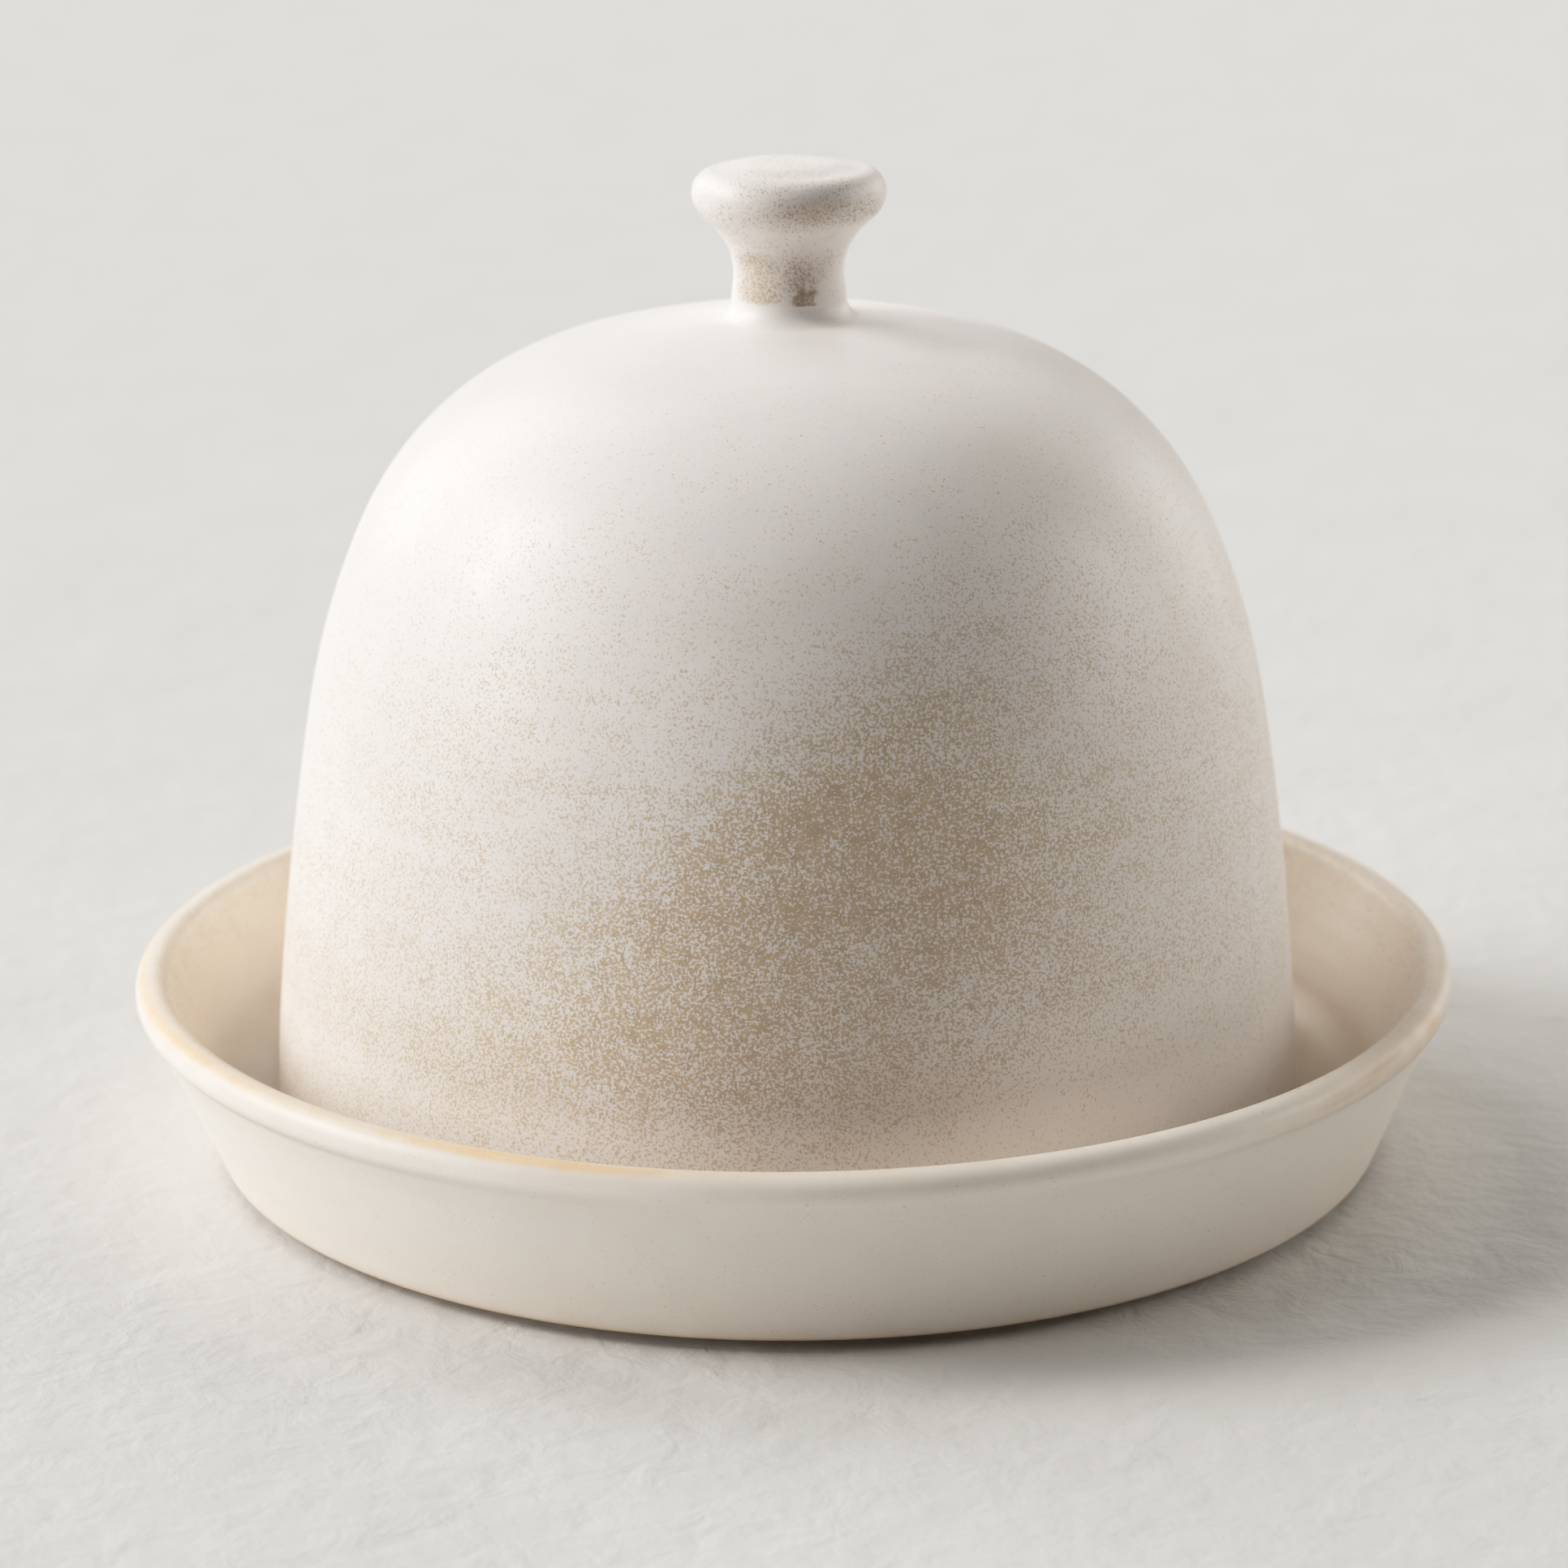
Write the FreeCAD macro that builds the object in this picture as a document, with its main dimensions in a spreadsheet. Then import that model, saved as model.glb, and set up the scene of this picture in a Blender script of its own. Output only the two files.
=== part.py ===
# Covered butter dish in stoneware: a shallow flared dish and a tall domed lid
# made from two clay pieces, the thrown dome and the knob luted onto its crown.
#
# Frame: millimetres, +Z up. The origin is the centre of the foot ring's
# underside, so the object stands on Z = 0 and +Z is the axis of every piece.
import FreeCAD, Part
import Sketcher
import math
import os

V = FreeCAD.Vector
doc = FreeCAD.newDocument("CoveredButterDish")

# --------------------------------------------------------------------------
# Driving dimensions
# --------------------------------------------------------------------------
DIMENSIONS = [
    # dish
    ("rim_radius", 88.0, "outer radius of the dish over its rolled rim"),
    ("dish_height", 26.5, "foot to the top of the rim"),
    ("rim_roll_radius", 2.33, "section radius of the rolled rim"),
    ("rim_crease_radius", 1.25, "soft crease under the rolled rim"),
    ("wall_lean", 22.7, "degrees the dish wall leans out from vertical"),
    ("base_corner_radius", 77.8, "radius of the wall's sharp lower corner"),
    ("base_corner_round", 1.65, "round on that corner"),
    ("floor_top", 5.7, "height of the dish floor the lid stands on"),
    ("floor_corner_round", 7.25, "inside round from floor to wall"),
    ("foot_height", 1.45, "height of the foot ring"),
    ("foot_outer_radius", 73.5, "outside of the foot ring"),
    ("foot_inner_radius", 67.8, "inside of the foot ring"),
    ("foot_edge_round", 0.5, "worn edge of the foot ring"),
    # dome, measured from its own base edge
    ("dome_base_radius", 68.7, "widest radius, on the rounded base edge"),
    ("dome_wall", 4.6, "thickness of the dome"),
    ("dome_side_radius", 418.0, "profile radius of the nearly straight side"),
    ("dome_upper_radius", 93.6, "profile radius above the side"),
    ("dome_shoulder_radius", 41.5, "profile radius of the shoulder"),
    ("dome_crown_radius", 115.0, "profile radius of the crown"),
    ("dome_side_top", 56.5, "height where the side arc ends"),
    ("dome_upper_top", 80.55, "height where the upper arc ends"),
    ("dome_crown_height", 106.4, "height of the crown's apex"),
    ("dome_edge_round", 1.35, "rounded base edge, inside and out"),
    ("pad_radius", 7.45, "luting pad under the knob"),
    ("pad_height", 108.75, "height of the pad's top"),
    # knob, measured from the joint with the pad
    ("waist_radius", 7.25, "narrowest radius of the neck"),
    ("waist_height", 2.15, "height of the narrowest point"),
    ("neck_flare_radius", 8.9, "hollow under the cap"),
    ("cap_under_radius", 4.44, "round under the cap's edge"),
    ("cap_edge_radius", 3.41, "round of the cap's edge"),
    ("cap_radius", 12.6, "widest radius of the cap"),
    ("cap_crown_radius", 59.6, "profile radius of the cap's top"),
    ("knob_height", 17.8, "joint to the top of the cap"),
]
sheet = doc.addObject("Spreadsheet::Sheet", "Dimensions")
sheet.set("A1", "dimension")
sheet.set("B1", "value")
sheet.set("C1", "meaning")
for row, (alias, value, note) in enumerate(DIMENSIONS, start=2):
    sheet.set("A%d" % row, alias)
    sheet.set("B%d" % row, repr(value))
    sheet.set("C%d" % row, note)
    sheet.setAlias("B%d" % row, alias)
doc.recompute()
D = {alias: float(getattr(sheet, alias)) for alias, _, _ in DIMENSIONS}


def ref(alias):
    return "Dimensions." + alias


# --------------------------------------------------------------------------
# Small helpers around bodies and sketches
# --------------------------------------------------------------------------
def new_body(name):
    body = doc.addObject("PartDesign::Body", name + "_body")
    body.Label = name
    return body


def origin_plane(body, role):
    for feature in body.Origin.OriginFeatures:
        if feature.Role == role:
            return feature
    raise RuntimeError("no origin plane " + role)


def new_sketch(body, name, role):
    sketch = body.newObject("Sketcher::SketchObject", name)
    sketch.AttachmentSupport = (origin_plane(body, role), [""])
    sketch.MapMode = "FlatFace"
    return sketch


def line(sketch, a, b):
    return sketch.addGeometry(Part.LineSegment(V(a[0], a[1], 0), V(b[0], b[1], 0)), False)


def arc(sketch, centre, radius, start, end):
    """Arc drawn anticlockwise between two angles in degrees."""
    circle = Part.Circle(V(centre[0], centre[1], 0), V(0, 0, 1), radius)
    return sketch.addGeometry(
        Part.ArcOfCircle(circle, math.radians(start), math.radians(end)), False
    )


def constrain(sketch, kind, *args, **kw):
    index = sketch.addConstraint(Sketcher.Constraint(kind, *args))
    if "name" in kw:
        sketch.renameConstraint(index, kw["name"])
        sketch.setExpression("Constraints." + kw["name"], kw["expr"])
    return index


def join(sketch, g1, p1, g2, p2):
    constrain(sketch, "Coincident", g1, p1, g2, p2)


def tangent(sketch, g1, p1, g2, p2):
    constrain(sketch, "Tangent", g1, p1, g2, p2)


def revolve(body, sketch, name):
    turn = body.newObject("PartDesign::Revolution", name)
    turn.Profile = sketch
    turn.ReferenceAxis = (sketch, ["V_Axis"])
    turn.Angle = 360.0
    doc.recompute()
    return turn


def circle_edges(feature, radius, height, tol=0.05):
    """Names of a feature's full circular edges with this radius at this height."""
    names = []
    for i, edge in enumerate(feature.Shape.Edges, start=1):
        if edge.Degenerated:
            continue
        curve = edge.Curve
        if not isinstance(curve, Part.Circle):
            continue
        if abs(curve.Radius - radius) < tol and abs(curve.Center.z - height) < tol:
            names.append("Edge%d" % i)
    if not names:
        raise RuntimeError("no circular edge r=%.2f z=%.2f" % (radius, height))
    return names


def fillet(body, base, edges, name, alias):
    rounded = body.newObject("PartDesign::Fillet", name)
    rounded.Base = (base, edges)
    rounded.Radius = D[alias]
    rounded.setExpression("Radius", ref(alias))
    doc.recompute()
    return rounded


# --------------------------------------------------------------------------
# Dish: one thrown piece, turned foot, leaning wall, rolled rim
# --------------------------------------------------------------------------
dish = new_body("dish")
profile = new_sketch(dish, "dish_profile", "XZ_Plane")

lean = math.radians(D["wall_lean"])
roll = D["rim_roll_radius"]
rim_c = (D["rim_radius"] - roll, D["dish_height"] - roll)
low = (D["base_corner_radius"], D["foot_height"])


# The crease circle touches the wall's line and the outside of the rolled rim.
up = (math.sin(lean), math.cos(lean))
out = (math.cos(lean), -math.sin(lean))
cr = D["rim_crease_radius"]
fx, fz = low[0] + cr * out[0] - rim_c[0], low[1] + cr * out[1] - rim_c[1]
b = fx * up[0] + fz * up[1]
k = -b - math.sqrt(b * b - (fx * fx + fz * fz - (roll + cr) ** 2))
crease_c = (rim_c[0] + fx + k * up[0], rim_c[1] + fz + k * up[1])
wall_end = (crease_c[0] - cr * out[0], crease_c[1] - cr * out[1])
q = roll / (roll + cr)
rim_start = (rim_c[0] + q * (crease_c[0] - rim_c[0]), rim_c[1] + q * (crease_c[1] - rim_c[1]))
inner_top = (rim_c[0] - roll * math.cos(lean), rim_c[1] + roll * math.sin(lean))
k = (inner_top[1] - D["floor_top"]) / math.cos(lean)
floor_corner = (inner_top[0] - k * math.sin(lean), D["floor_top"])

under = line(profile, (0, D["foot_height"]), (D["foot_inner_radius"], D["foot_height"]))
ring_in = line(profile, (D["foot_inner_radius"], D["foot_height"]), (D["foot_inner_radius"], 0))
ring_face = line(profile, (D["foot_inner_radius"], 0), (D["foot_outer_radius"], 0))
ring_out = line(profile, (D["foot_outer_radius"], 0), (D["foot_outer_radius"], D["foot_height"]))
skirt = line(profile, (D["foot_outer_radius"], D["foot_height"]), low)
wall_out = line(profile, low, wall_end)
hollow = arc(
    profile, crease_c, cr,
    math.degrees(math.atan2(rim_c[1] - crease_c[1], rim_c[0] - crease_c[0])) % 360.0,
    180.0 - D["wall_lean"],
)
rim = arc(
    profile, rim_c, roll,
    math.degrees(math.atan2(crease_c[1] - rim_c[1], crease_c[0] - rim_c[0])),
    180.0 - D["wall_lean"],
)
wall_in = line(profile, inner_top, floor_corner)
floor = line(profile, floor_corner, (0, D["floor_top"]))
middle = line(profile, (0, D["floor_top"]), (0, D["foot_height"]))

for a, b in ((under, ring_in), (ring_in, ring_face), (ring_face, ring_out),
             (ring_out, skirt), (skirt, wall_out)):
    join(profile, a, 2, b, 1)
tangent(profile, wall_out, 2, hollow, 2)
tangent(profile, hollow, 1, rim, 1)
tangent(profile, rim, 2, wall_in, 1)
join(profile, wall_in, 2, floor, 1)
join(profile, floor, 2, middle, 1)
join(profile, middle, 2, under, 1)
for g in (under, ring_face, skirt, floor):
    constrain(profile, "Horizontal", g)
for g in (ring_in, ring_out, middle):
    constrain(profile, "Vertical", g)
constrain(profile, "PointOnObject", under, 1, -2)
constrain(profile, "PointOnObject", ring_face, 1, -1)
constrain(profile, "DistanceY", -1, 1, under, 1, D["foot_height"],
          name="foot_height", expr=ref("foot_height"))
constrain(profile, "DistanceX", -1, 1, ring_face, 1, D["foot_inner_radius"],
          name="foot_inner", expr=ref("foot_inner_radius"))
constrain(profile, "DistanceX", -1, 1, ring_face, 2, D["foot_outer_radius"],
          name="foot_outer", expr=ref("foot_outer_radius"))
constrain(profile, "DistanceY", -1, 1, skirt, 1, D["foot_height"],
          name="skirt_height", expr=ref("foot_height"))
constrain(profile, "DistanceX", -1, 1, wall_out, 1, D["base_corner_radius"],
          name="base_corner", expr=ref("base_corner_radius"))
constrain(profile, "Radius", rim, roll,
          name="roll_radius", expr=ref("rim_roll_radius"))
constrain(profile, "Radius", hollow, cr,
          name="crease_radius", expr=ref("rim_crease_radius"))
constrain(profile, "DistanceX", -1, 1, rim, 3, rim_c[0],
          name="roll_centre_out", expr=ref("rim_radius") + " - " + ref("rim_roll_radius"))
constrain(profile, "DistanceY", -1, 1, rim, 3, rim_c[1],
          name="roll_centre_up", expr=ref("dish_height") + " - " + ref("rim_roll_radius"))
constrain(profile, "DistanceY", -1, 1, floor, 1, D["floor_top"],
          name="floor_top", expr=ref("floor_top"))
constrain(profile, "Parallel", wall_out, wall_in)
constrain(profile, "Angle", -1, 1, wall_out, 1, math.pi / 2 - lean,
          name="wall_rise", expr="90 deg - " + ref("wall_lean") + " * 1 deg")
doc.recompute()
turned = revolve(dish, profile, "dish_turned")

foot_edges = circle_edges(turned, D["foot_outer_radius"], 0.0)
foot_edges += circle_edges(turned, D["foot_inner_radius"], 0.0)
dish_foot = fillet(dish, turned, foot_edges, "foot_edges_rounded", "foot_edge_round")
dish_corner = fillet(
    dish, dish_foot,
    circle_edges(dish_foot, D["base_corner_radius"], D["foot_height"]),
    "base_corner_rounded", "base_corner_round",
)
dish_floor = fillet(
    dish, dish_corner, circle_edges(dish_corner, floor_corner[0], floor_corner[1]),
    "floor_corner_rounded", "floor_corner_round",
)

# --------------------------------------------------------------------------
# Dome: thrown shell, closed crown, open base, pad where the knob is luted on.
# The outside is a chain of four tangent arcs; the crown's centre is on the axis.
# --------------------------------------------------------------------------
dome = new_body("dome")
outside = new_sketch(dome, "dome_profile", "XZ_Plane")


edge_round = D["dome_edge_round"]


def chain_from_crown():
    """Centres and joins of the four arcs, from the sheet's numbers.

    The crown circle is fixed by its radius and apex. The unknown is the
    crown-to-shoulder join angle; it is found so that the side arc runs on
    smoothly from the rounded base edge.
    """
    ra, rb, rc, rd = (D["dome_side_radius"], D["dome_upper_radius"],
                      D["dome_shoulder_radius"], D["dome_crown_radius"])
    zd = D["dome_crown_height"] - rd

    def build(angle):
        # angle: polar angle, at the crown centre, of the crown/shoulder join
        u = (math.cos(angle), math.sin(angle))
        p_cd = (rd * u[0], zd + rd * u[1])
        c_c = ((rd - rc) * u[0], zd + (rd - rc) * u[1])
        a_bc = math.asin((D["dome_upper_top"] - c_c[1]) / rc)
        w = (math.cos(a_bc), math.sin(a_bc))
        p_bc = (c_c[0] + rc * w[0], D["dome_upper_top"])
        c_b = (p_bc[0] - rb * w[0], p_bc[1] - rb * w[1])
        a_ab = math.asin((D["dome_side_top"] - c_b[1]) / rb)
        x = (math.cos(a_ab), math.sin(a_ab))
        p_ab = (c_b[0] + rb * x[0], D["dome_side_top"])
        c_a = (p_ab[0] - ra * x[0], p_ab[1] - ra * x[1])
        a_0 = math.asin((edge_round - c_a[1]) / (ra - edge_round))
        c_e = (c_a[0] + (ra - edge_round) * math.cos(a_0), edge_round)
        return c_e, p_ab, p_bc, p_cd, c_a, c_b, c_c, (0.0, zd), (a_0, a_ab, a_bc, angle)

    wanted = D["dome_base_radius"] - edge_round
    lo, hi = math.radians(66.0), math.radians(84.0)
    f_lo = build(lo)[0][0] - wanted
    for _ in range(80):
        mid = 0.5 * (lo + hi)
        f_mid = build(mid)[0][0] - wanted
        if (f_mid > 0) == (f_lo > 0):
            lo, f_lo = mid, f_mid
        else:
            hi = mid
    return build(0.5 * (lo + hi))


c_e, p_ab, p_bc, p_cd, c_a, c_b, c_c, c_d, turns = chain_from_crown()
deg = [math.degrees(a) for a in turns]
side = arc(outside, c_a, D["dome_side_radius"], deg[0], deg[1])
upper = arc(outside, c_b, D["dome_upper_radius"], deg[1], deg[2])
shoulder = arc(outside, c_c, D["dome_shoulder_radius"], deg[2], deg[3])
crown = arc(outside, c_d, D["dome_crown_radius"], deg[3], 90.0)
axis = line(outside, (0, D["dome_crown_height"]), (0, 0))
base = line(outside, (0, 0), (c_e[0], 0))
lip = arc(outside, c_e, edge_round, -90.0, deg[0])
tangent(outside, side, 2, upper, 1)
tangent(outside, upper, 2, shoulder, 1)
tangent(outside, shoulder, 2, crown, 1)
join(outside, crown, 2, axis, 1)
join(outside, axis, 2, base, 1)
tangent(outside, base, 2, lip, 1)
tangent(outside, lip, 2, side, 1)
constrain(outside, "Coincident", axis, 2, -1, 1)
constrain(outside, "Horizontal", base)
constrain(outside, "Vertical", axis)
constrain(outside, "PointOnObject", crown, 3, -2)
for g, alias in ((side, "dome_side_radius"), (upper, "dome_upper_radius"),
                 (shoulder, "dome_shoulder_radius"), (crown, "dome_crown_radius")):
    constrain(outside, "Radius", g, D[alias], name=alias, expr=ref(alias))
constrain(outside, "Radius", lip, edge_round, name="edge_round", expr=ref("dome_edge_round"))
constrain(outside, "DistanceX", -1, 1, lip, 3, c_e[0], name="lip_centre_out",
          expr=ref("dome_base_radius") + " - " + ref("dome_edge_round"))
constrain(outside, "DistanceY", -1, 1, side, 2, D["dome_side_top"],
          name="side_top", expr=ref("dome_side_top"))
constrain(outside, "DistanceY", -1, 1, upper, 2, D["dome_upper_top"],
          name="upper_top", expr=ref("dome_upper_top"))
constrain(outside, "DistanceY", -1, 1, axis, 1, D["dome_crown_height"],
          name="crown_height", expr=ref("dome_crown_height"))


def measure(sketch, kind, geometry, point, value, name):
    """A named reference dimension from the origin, read by other sketches."""
    index = sketch.addConstraint(Sketcher.Constraint(kind, -1, 1, geometry, point, value))
    sketch.setDriving(index, False)
    sketch.renameConstraint(index, name)


measure(outside, "DistanceY", upper, 3, c_b[1], "upper_centre_up")
measure(outside, "DistanceY", side, 3, c_a[1], "side_centre_up")
doc.recompute()
dome_block = revolve(dome, outside, "dome_turned")


# The hollow is cut by the same four arcs moved inward by the wall's thickness.
inside = new_sketch(dome, "dome_hollow_profile", "XZ_Plane")
wall = D["dome_wall"]


def inward(centre, point):
    d = math.hypot(point[0] - centre[0], point[1] - centre[1])
    q = (d - wall) / d
    return (centre[0] + q * (point[0] - centre[0]), centre[1] + q * (point[1] - centre[1]))


q_ab, q_bc, q_cd = inward(c_b, p_ab), inward(c_b, p_bc), inward(c_d, p_cd)
r_side = D["dome_side_radius"]
reach = r_side - wall + edge_round
a_0 = math.degrees(math.asin((edge_round - c_a[1]) / reach))
c_i = (c_a[0] + reach * math.cos(math.radians(a_0)), edge_round)
side_in = arc(inside, c_a, r_side - wall, a_0, deg[1])
upper_in = arc(inside, c_b, D["dome_upper_radius"] - wall, deg[1], deg[2])
shoulder_in = arc(inside, c_c, D["dome_shoulder_radius"] - wall, deg[2], deg[3])
crown_in = arc(inside, c_d, D["dome_crown_radius"] - wall, deg[3], 90.0)
axis_in = line(inside, (0, D["dome_crown_height"] - wall), (0, 0))
base_in = line(inside, (0, 0), (c_i[0], 0))
lip_in = arc(inside, c_i, edge_round, 180.0 + a_0, 270.0)
tangent(inside, side_in, 2, upper_in, 1)
tangent(inside, upper_in, 2, shoulder_in, 1)
tangent(inside, shoulder_in, 2, crown_in, 1)
join(inside, crown_in, 2, axis_in, 1)
join(inside, axis_in, 2, base_in, 1)
tangent(inside, base_in, 2, lip_in, 2)
tangent(inside, lip_in, 1, side_in, 1)
constrain(inside, "Coincident", axis_in, 2, -1, 1)
constrain(inside, "Horizontal", base_in)
constrain(inside, "Vertical", axis_in)
constrain(inside, "PointOnObject", crown_in, 3, -2)
for g, alias in ((side_in, "dome_side_radius"), (upper_in, "dome_upper_radius"),
                 (shoulder_in, "dome_shoulder_radius"), (crown_in, "dome_crown_radius")):
    constrain(inside, "Radius", g, D[alias] - wall, name=alias,
              expr=ref(alias) + " - " + ref("dome_wall"))
side_up = "(dome_profile.Constraints.side_centre_up / 1 mm)"
upper_up = "(dome_profile.Constraints.upper_centre_up / 1 mm)"
constrain(inside, "Radius", lip_in, edge_round, name="edge_round", expr=ref("dome_edge_round"))
rise = "(%s - %s)" % (side_up, ref("dome_edge_round"))
constrain(inside, "DistanceX", -1, 1, lip_in, 3, c_i[0], name="lip_centre_out",
          expr="%s - %s - sqrt((%s - %s) ^ 2 - %s ^ 2) + sqrt((%s - %s + %s) ^ 2 - %s ^ 2)" % (
              ref("dome_base_radius"), ref("dome_edge_round"),
              ref("dome_side_radius"), ref("dome_edge_round"), rise,
              ref("dome_side_radius"), ref("dome_wall"), ref("dome_edge_round"), rise))
for g, alias, name, q in ((side_in, "dome_side_top", "side_top", q_ab),
                          (upper_in, "dome_upper_top", "upper_top", q_bc)):
    constrain(inside, "DistanceY", -1, 1, g, 2, q[1], name=name,
              expr="%s - %s * (%s - %s) / %s" % (
                  ref(alias), ref("dome_wall"), ref(alias), upper_up,
                  ref("dome_upper_radius")))
constrain(inside, "DistanceY", -1, 1, axis_in, 1, D["dome_crown_height"] - wall,
          name="crown_height", expr=ref("dome_crown_height") + " - " + ref("dome_wall"))
doc.recompute()
dome_shell = dome.newObject("PartDesign::Groove", "dome_hollowed")
dome_shell.Profile = inside
dome_shell.ReferenceAxis = (inside, ["V_Axis"])
dome_shell.Angle = 360.0
doc.recompute()
removed = dome_block.Shape.Volume - dome_shell.Shape.Volume
if removed < 0.7 * dome_block.Shape.Volume:
    raise RuntimeError("the hollow was not cut")

# The luting pad rises out of the crown in a slip fillet and carries the knob.
# The fillet is one hollow arc, upright at the pad's rim and tangent to the crown.
pad_sketch = new_sketch(dome, "pad_profile", "XZ_Plane")
r_crown, r_pad = D["dome_crown_radius"], D["pad_radius"]
z_crown = D["dome_crown_height"] - r_crown
pad_top = D["pad_height"]
rho = ((pad_top - z_crown) ** 2 + r_pad ** 2 - r_crown ** 2) / (2 * (r_crown - r_pad))
turn = math.degrees(math.atan2(pad_top - z_crown, r_pad + rho))
touch = (r_crown * math.cos(math.radians(turn)), z_crown + r_crown * math.sin(math.radians(turn)))
root = (0, D["dome_crown_height"] - 0.5 * wall)
crown_line = pad_sketch.addGeometry(
    Part.Circle(V(0, z_crown, 0), V(0, 0, 1), r_crown), True)
pad_face = line(pad_sketch, (0, pad_top), (r_pad, pad_top))
slip = arc(pad_sketch, (r_pad + rho, pad_top), rho, 180.0, 180.0 + turn)
buried = line(pad_sketch, touch, root)
middle_line = line(pad_sketch, root, (0, pad_top))
constrain(pad_sketch, "Radius", crown_line, r_crown,
          name="crown_radius", expr=ref("dome_crown_radius"))
constrain(pad_sketch, "PointOnObject", crown_line, 3, -2)
constrain(pad_sketch, "DistanceY", crown_line, 3, middle_line, 2, pad_top - z_crown,
          name="pad_over_crown_centre",
          expr="%s - %s + %s" % (ref("pad_height"), ref("dome_crown_height"), ref("dome_crown_radius")))
join(pad_sketch, pad_face, 2, slip, 1)
join(pad_sketch, slip, 2, buried, 1)
join(pad_sketch, buried, 2, middle_line, 1)
join(pad_sketch, middle_line, 2, pad_face, 1)
constrain(pad_sketch, "Horizontal", pad_face)
constrain(pad_sketch, "Vertical", middle_line)
constrain(pad_sketch, "PointOnObject", middle_line, 2, -2)
constrain(pad_sketch, "DistanceY", -1, 1, middle_line, 2, pad_top,
          name="pad_height", expr=ref("pad_height"))
constrain(pad_sketch, "DistanceY", -1, 1, middle_line, 1, root[1],
          name="root_height", expr="%s - %s / 2" % (ref("dome_crown_height"), ref("dome_wall")))
constrain(pad_sketch, "DistanceX", -1, 1, pad_face, 2, r_pad,
          name="pad_radius", expr=ref("pad_radius"))
constrain(pad_sketch, "Horizontal", pad_face, 2, slip, 3)
constrain(pad_sketch, "Tangent", slip, 2, crown_line)
doc.recompute()
before = dome_shell.Shape.Volume
dome_done = revolve(dome, pad_sketch, "luting_pad")
if dome_done.Shape.Volume <= before:
    raise RuntimeError("the pad was not added")

# The lid stands on the dish floor.
dome.Placement = FreeCAD.Placement(V(0, 0, D["floor_top"]), FreeCAD.Rotation())
dome.setExpression("Placement.Base.z", ref("floor_top"))

# --------------------------------------------------------------------------
# Knob: solid, thrown off the hump, waisted neck under a rolled cap
# --------------------------------------------------------------------------
knob = new_body("knob")
turning = new_sketch(knob, "knob_profile", "XZ_Plane")


def knob_chain():
    """Arc centres and joins, from the sheet's numbers.

    The cap's top circle has its centre on the axis; the edge circle touches it
    from inside and reaches the cap's radius; the under-cap circle touches the
    edge circle, and the neck flare touches both it and the neck line.
    """
    re_, ru, rn, rc = (D["cap_edge_radius"], D["cap_under_radius"],
                       D["neck_flare_radius"], D["cap_crown_radius"])
    zc = D["knob_height"] - rc
    ex = D["cap_radius"] - re_
    ez = zc + math.sqrt((rc - re_) ** 2 - ex ** 2)
    top_join = (rc * ex / (rc - re_), zc + rc * (ez - zc) / (rc - re_))
    foot, waist = (D["pad_radius"], 0.0), (D["waist_radius"], D["waist_height"])
    run = math.hypot(waist[0] - foot[0], waist[1])
    h = ((waist[0] - foot[0]) / run, waist[1] / run)
    n = (waist[0] + rn * h[1], waist[1] - rn * h[0])
    # under-cap centre: distance ru + rn from the flare centre and
    # ru - re_ from the edge centre (the larger circle holds the smaller)
    d1, d2 = ru + rn, ru - re_
    dx, dz = ex - n[0], ez - n[1]
    dist = math.hypot(dx, dz)
    a = (d1 * d1 - d2 * d2 + dist * dist) / (2 * dist)
    hh = math.sqrt(max(d1 * d1 - a * a, 0.0))
    ux, uz = dx / dist, dz / dist
    options = [(n[0] + a * ux - k * hh * uz, n[1] + a * uz + k * hh * ux) for k in (1, -1)]
    u = min(options, key=lambda c: c[0])
    neck_join = (n[0] + rn * (u[0] - n[0]) / d1, n[1] + rn * (u[1] - n[1]) / d1)
    edge_join = (u[0] + ru * (ex - u[0]) / d2, u[1] + ru * (ez - u[1]) / d2)
    return foot, waist, n, u, (ex, ez), (0.0, zc), neck_join, edge_join, top_join


def bearing(centre, point):
    return math.degrees(math.atan2(point[1] - centre[1], point[0] - centre[0]))


foot, waist, n_c, u_c, e_c, t_c, neck_join, edge_join, top_join = knob_chain()
joint_face = line(turning, (0, 0), foot)
neck = line(turning, foot, waist)
flare = arc(turning, n_c, D["neck_flare_radius"],
            bearing(n_c, neck_join), bearing(n_c, waist) % 360.0)
under_cap = arc(turning, u_c, D["cap_under_radius"],
                bearing(u_c, neck_join), bearing(u_c, edge_join))
edge = arc(turning, e_c, D["cap_edge_radius"],
           bearing(e_c, edge_join), bearing(e_c, top_join))
cap_top = arc(turning, t_c, D["cap_crown_radius"], bearing(t_c, top_join), 90.0)
core = line(turning, (0, D["knob_height"]), (0, 0))

join(turning, joint_face, 1, -1, 1)
join(turning, joint_face, 2, neck, 1)
tangent(turning, neck, 2, flare, 2)
tangent(turning, flare, 1, under_cap, 1)
tangent(turning, under_cap, 2, edge, 1)
tangent(turning, edge, 2, cap_top, 1)
join(turning, cap_top, 2, core, 1)
join(turning, core, 2, joint_face, 1)
constrain(turning, "Horizontal", joint_face)
constrain(turning, "Vertical", core)
constrain(turning, "PointOnObject", cap_top, 3, -2)
constrain(turning, "DistanceX", -1, 1, neck, 1, D["pad_radius"],
          name="joint_radius", expr=ref("pad_radius"))
constrain(turning, "DistanceX", -1, 1, neck, 2, D["waist_radius"],
          name="waist_radius", expr=ref("waist_radius"))
constrain(turning, "DistanceY", -1, 1, neck, 2, D["waist_height"],
          name="waist_height", expr=ref("waist_height"))
for g, alias in ((flare, "neck_flare_radius"), (under_cap, "cap_under_radius"),
                 (edge, "cap_edge_radius"), (cap_top, "cap_crown_radius")):
    constrain(turning, "Radius", g, D[alias], name=alias, expr=ref(alias))
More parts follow.
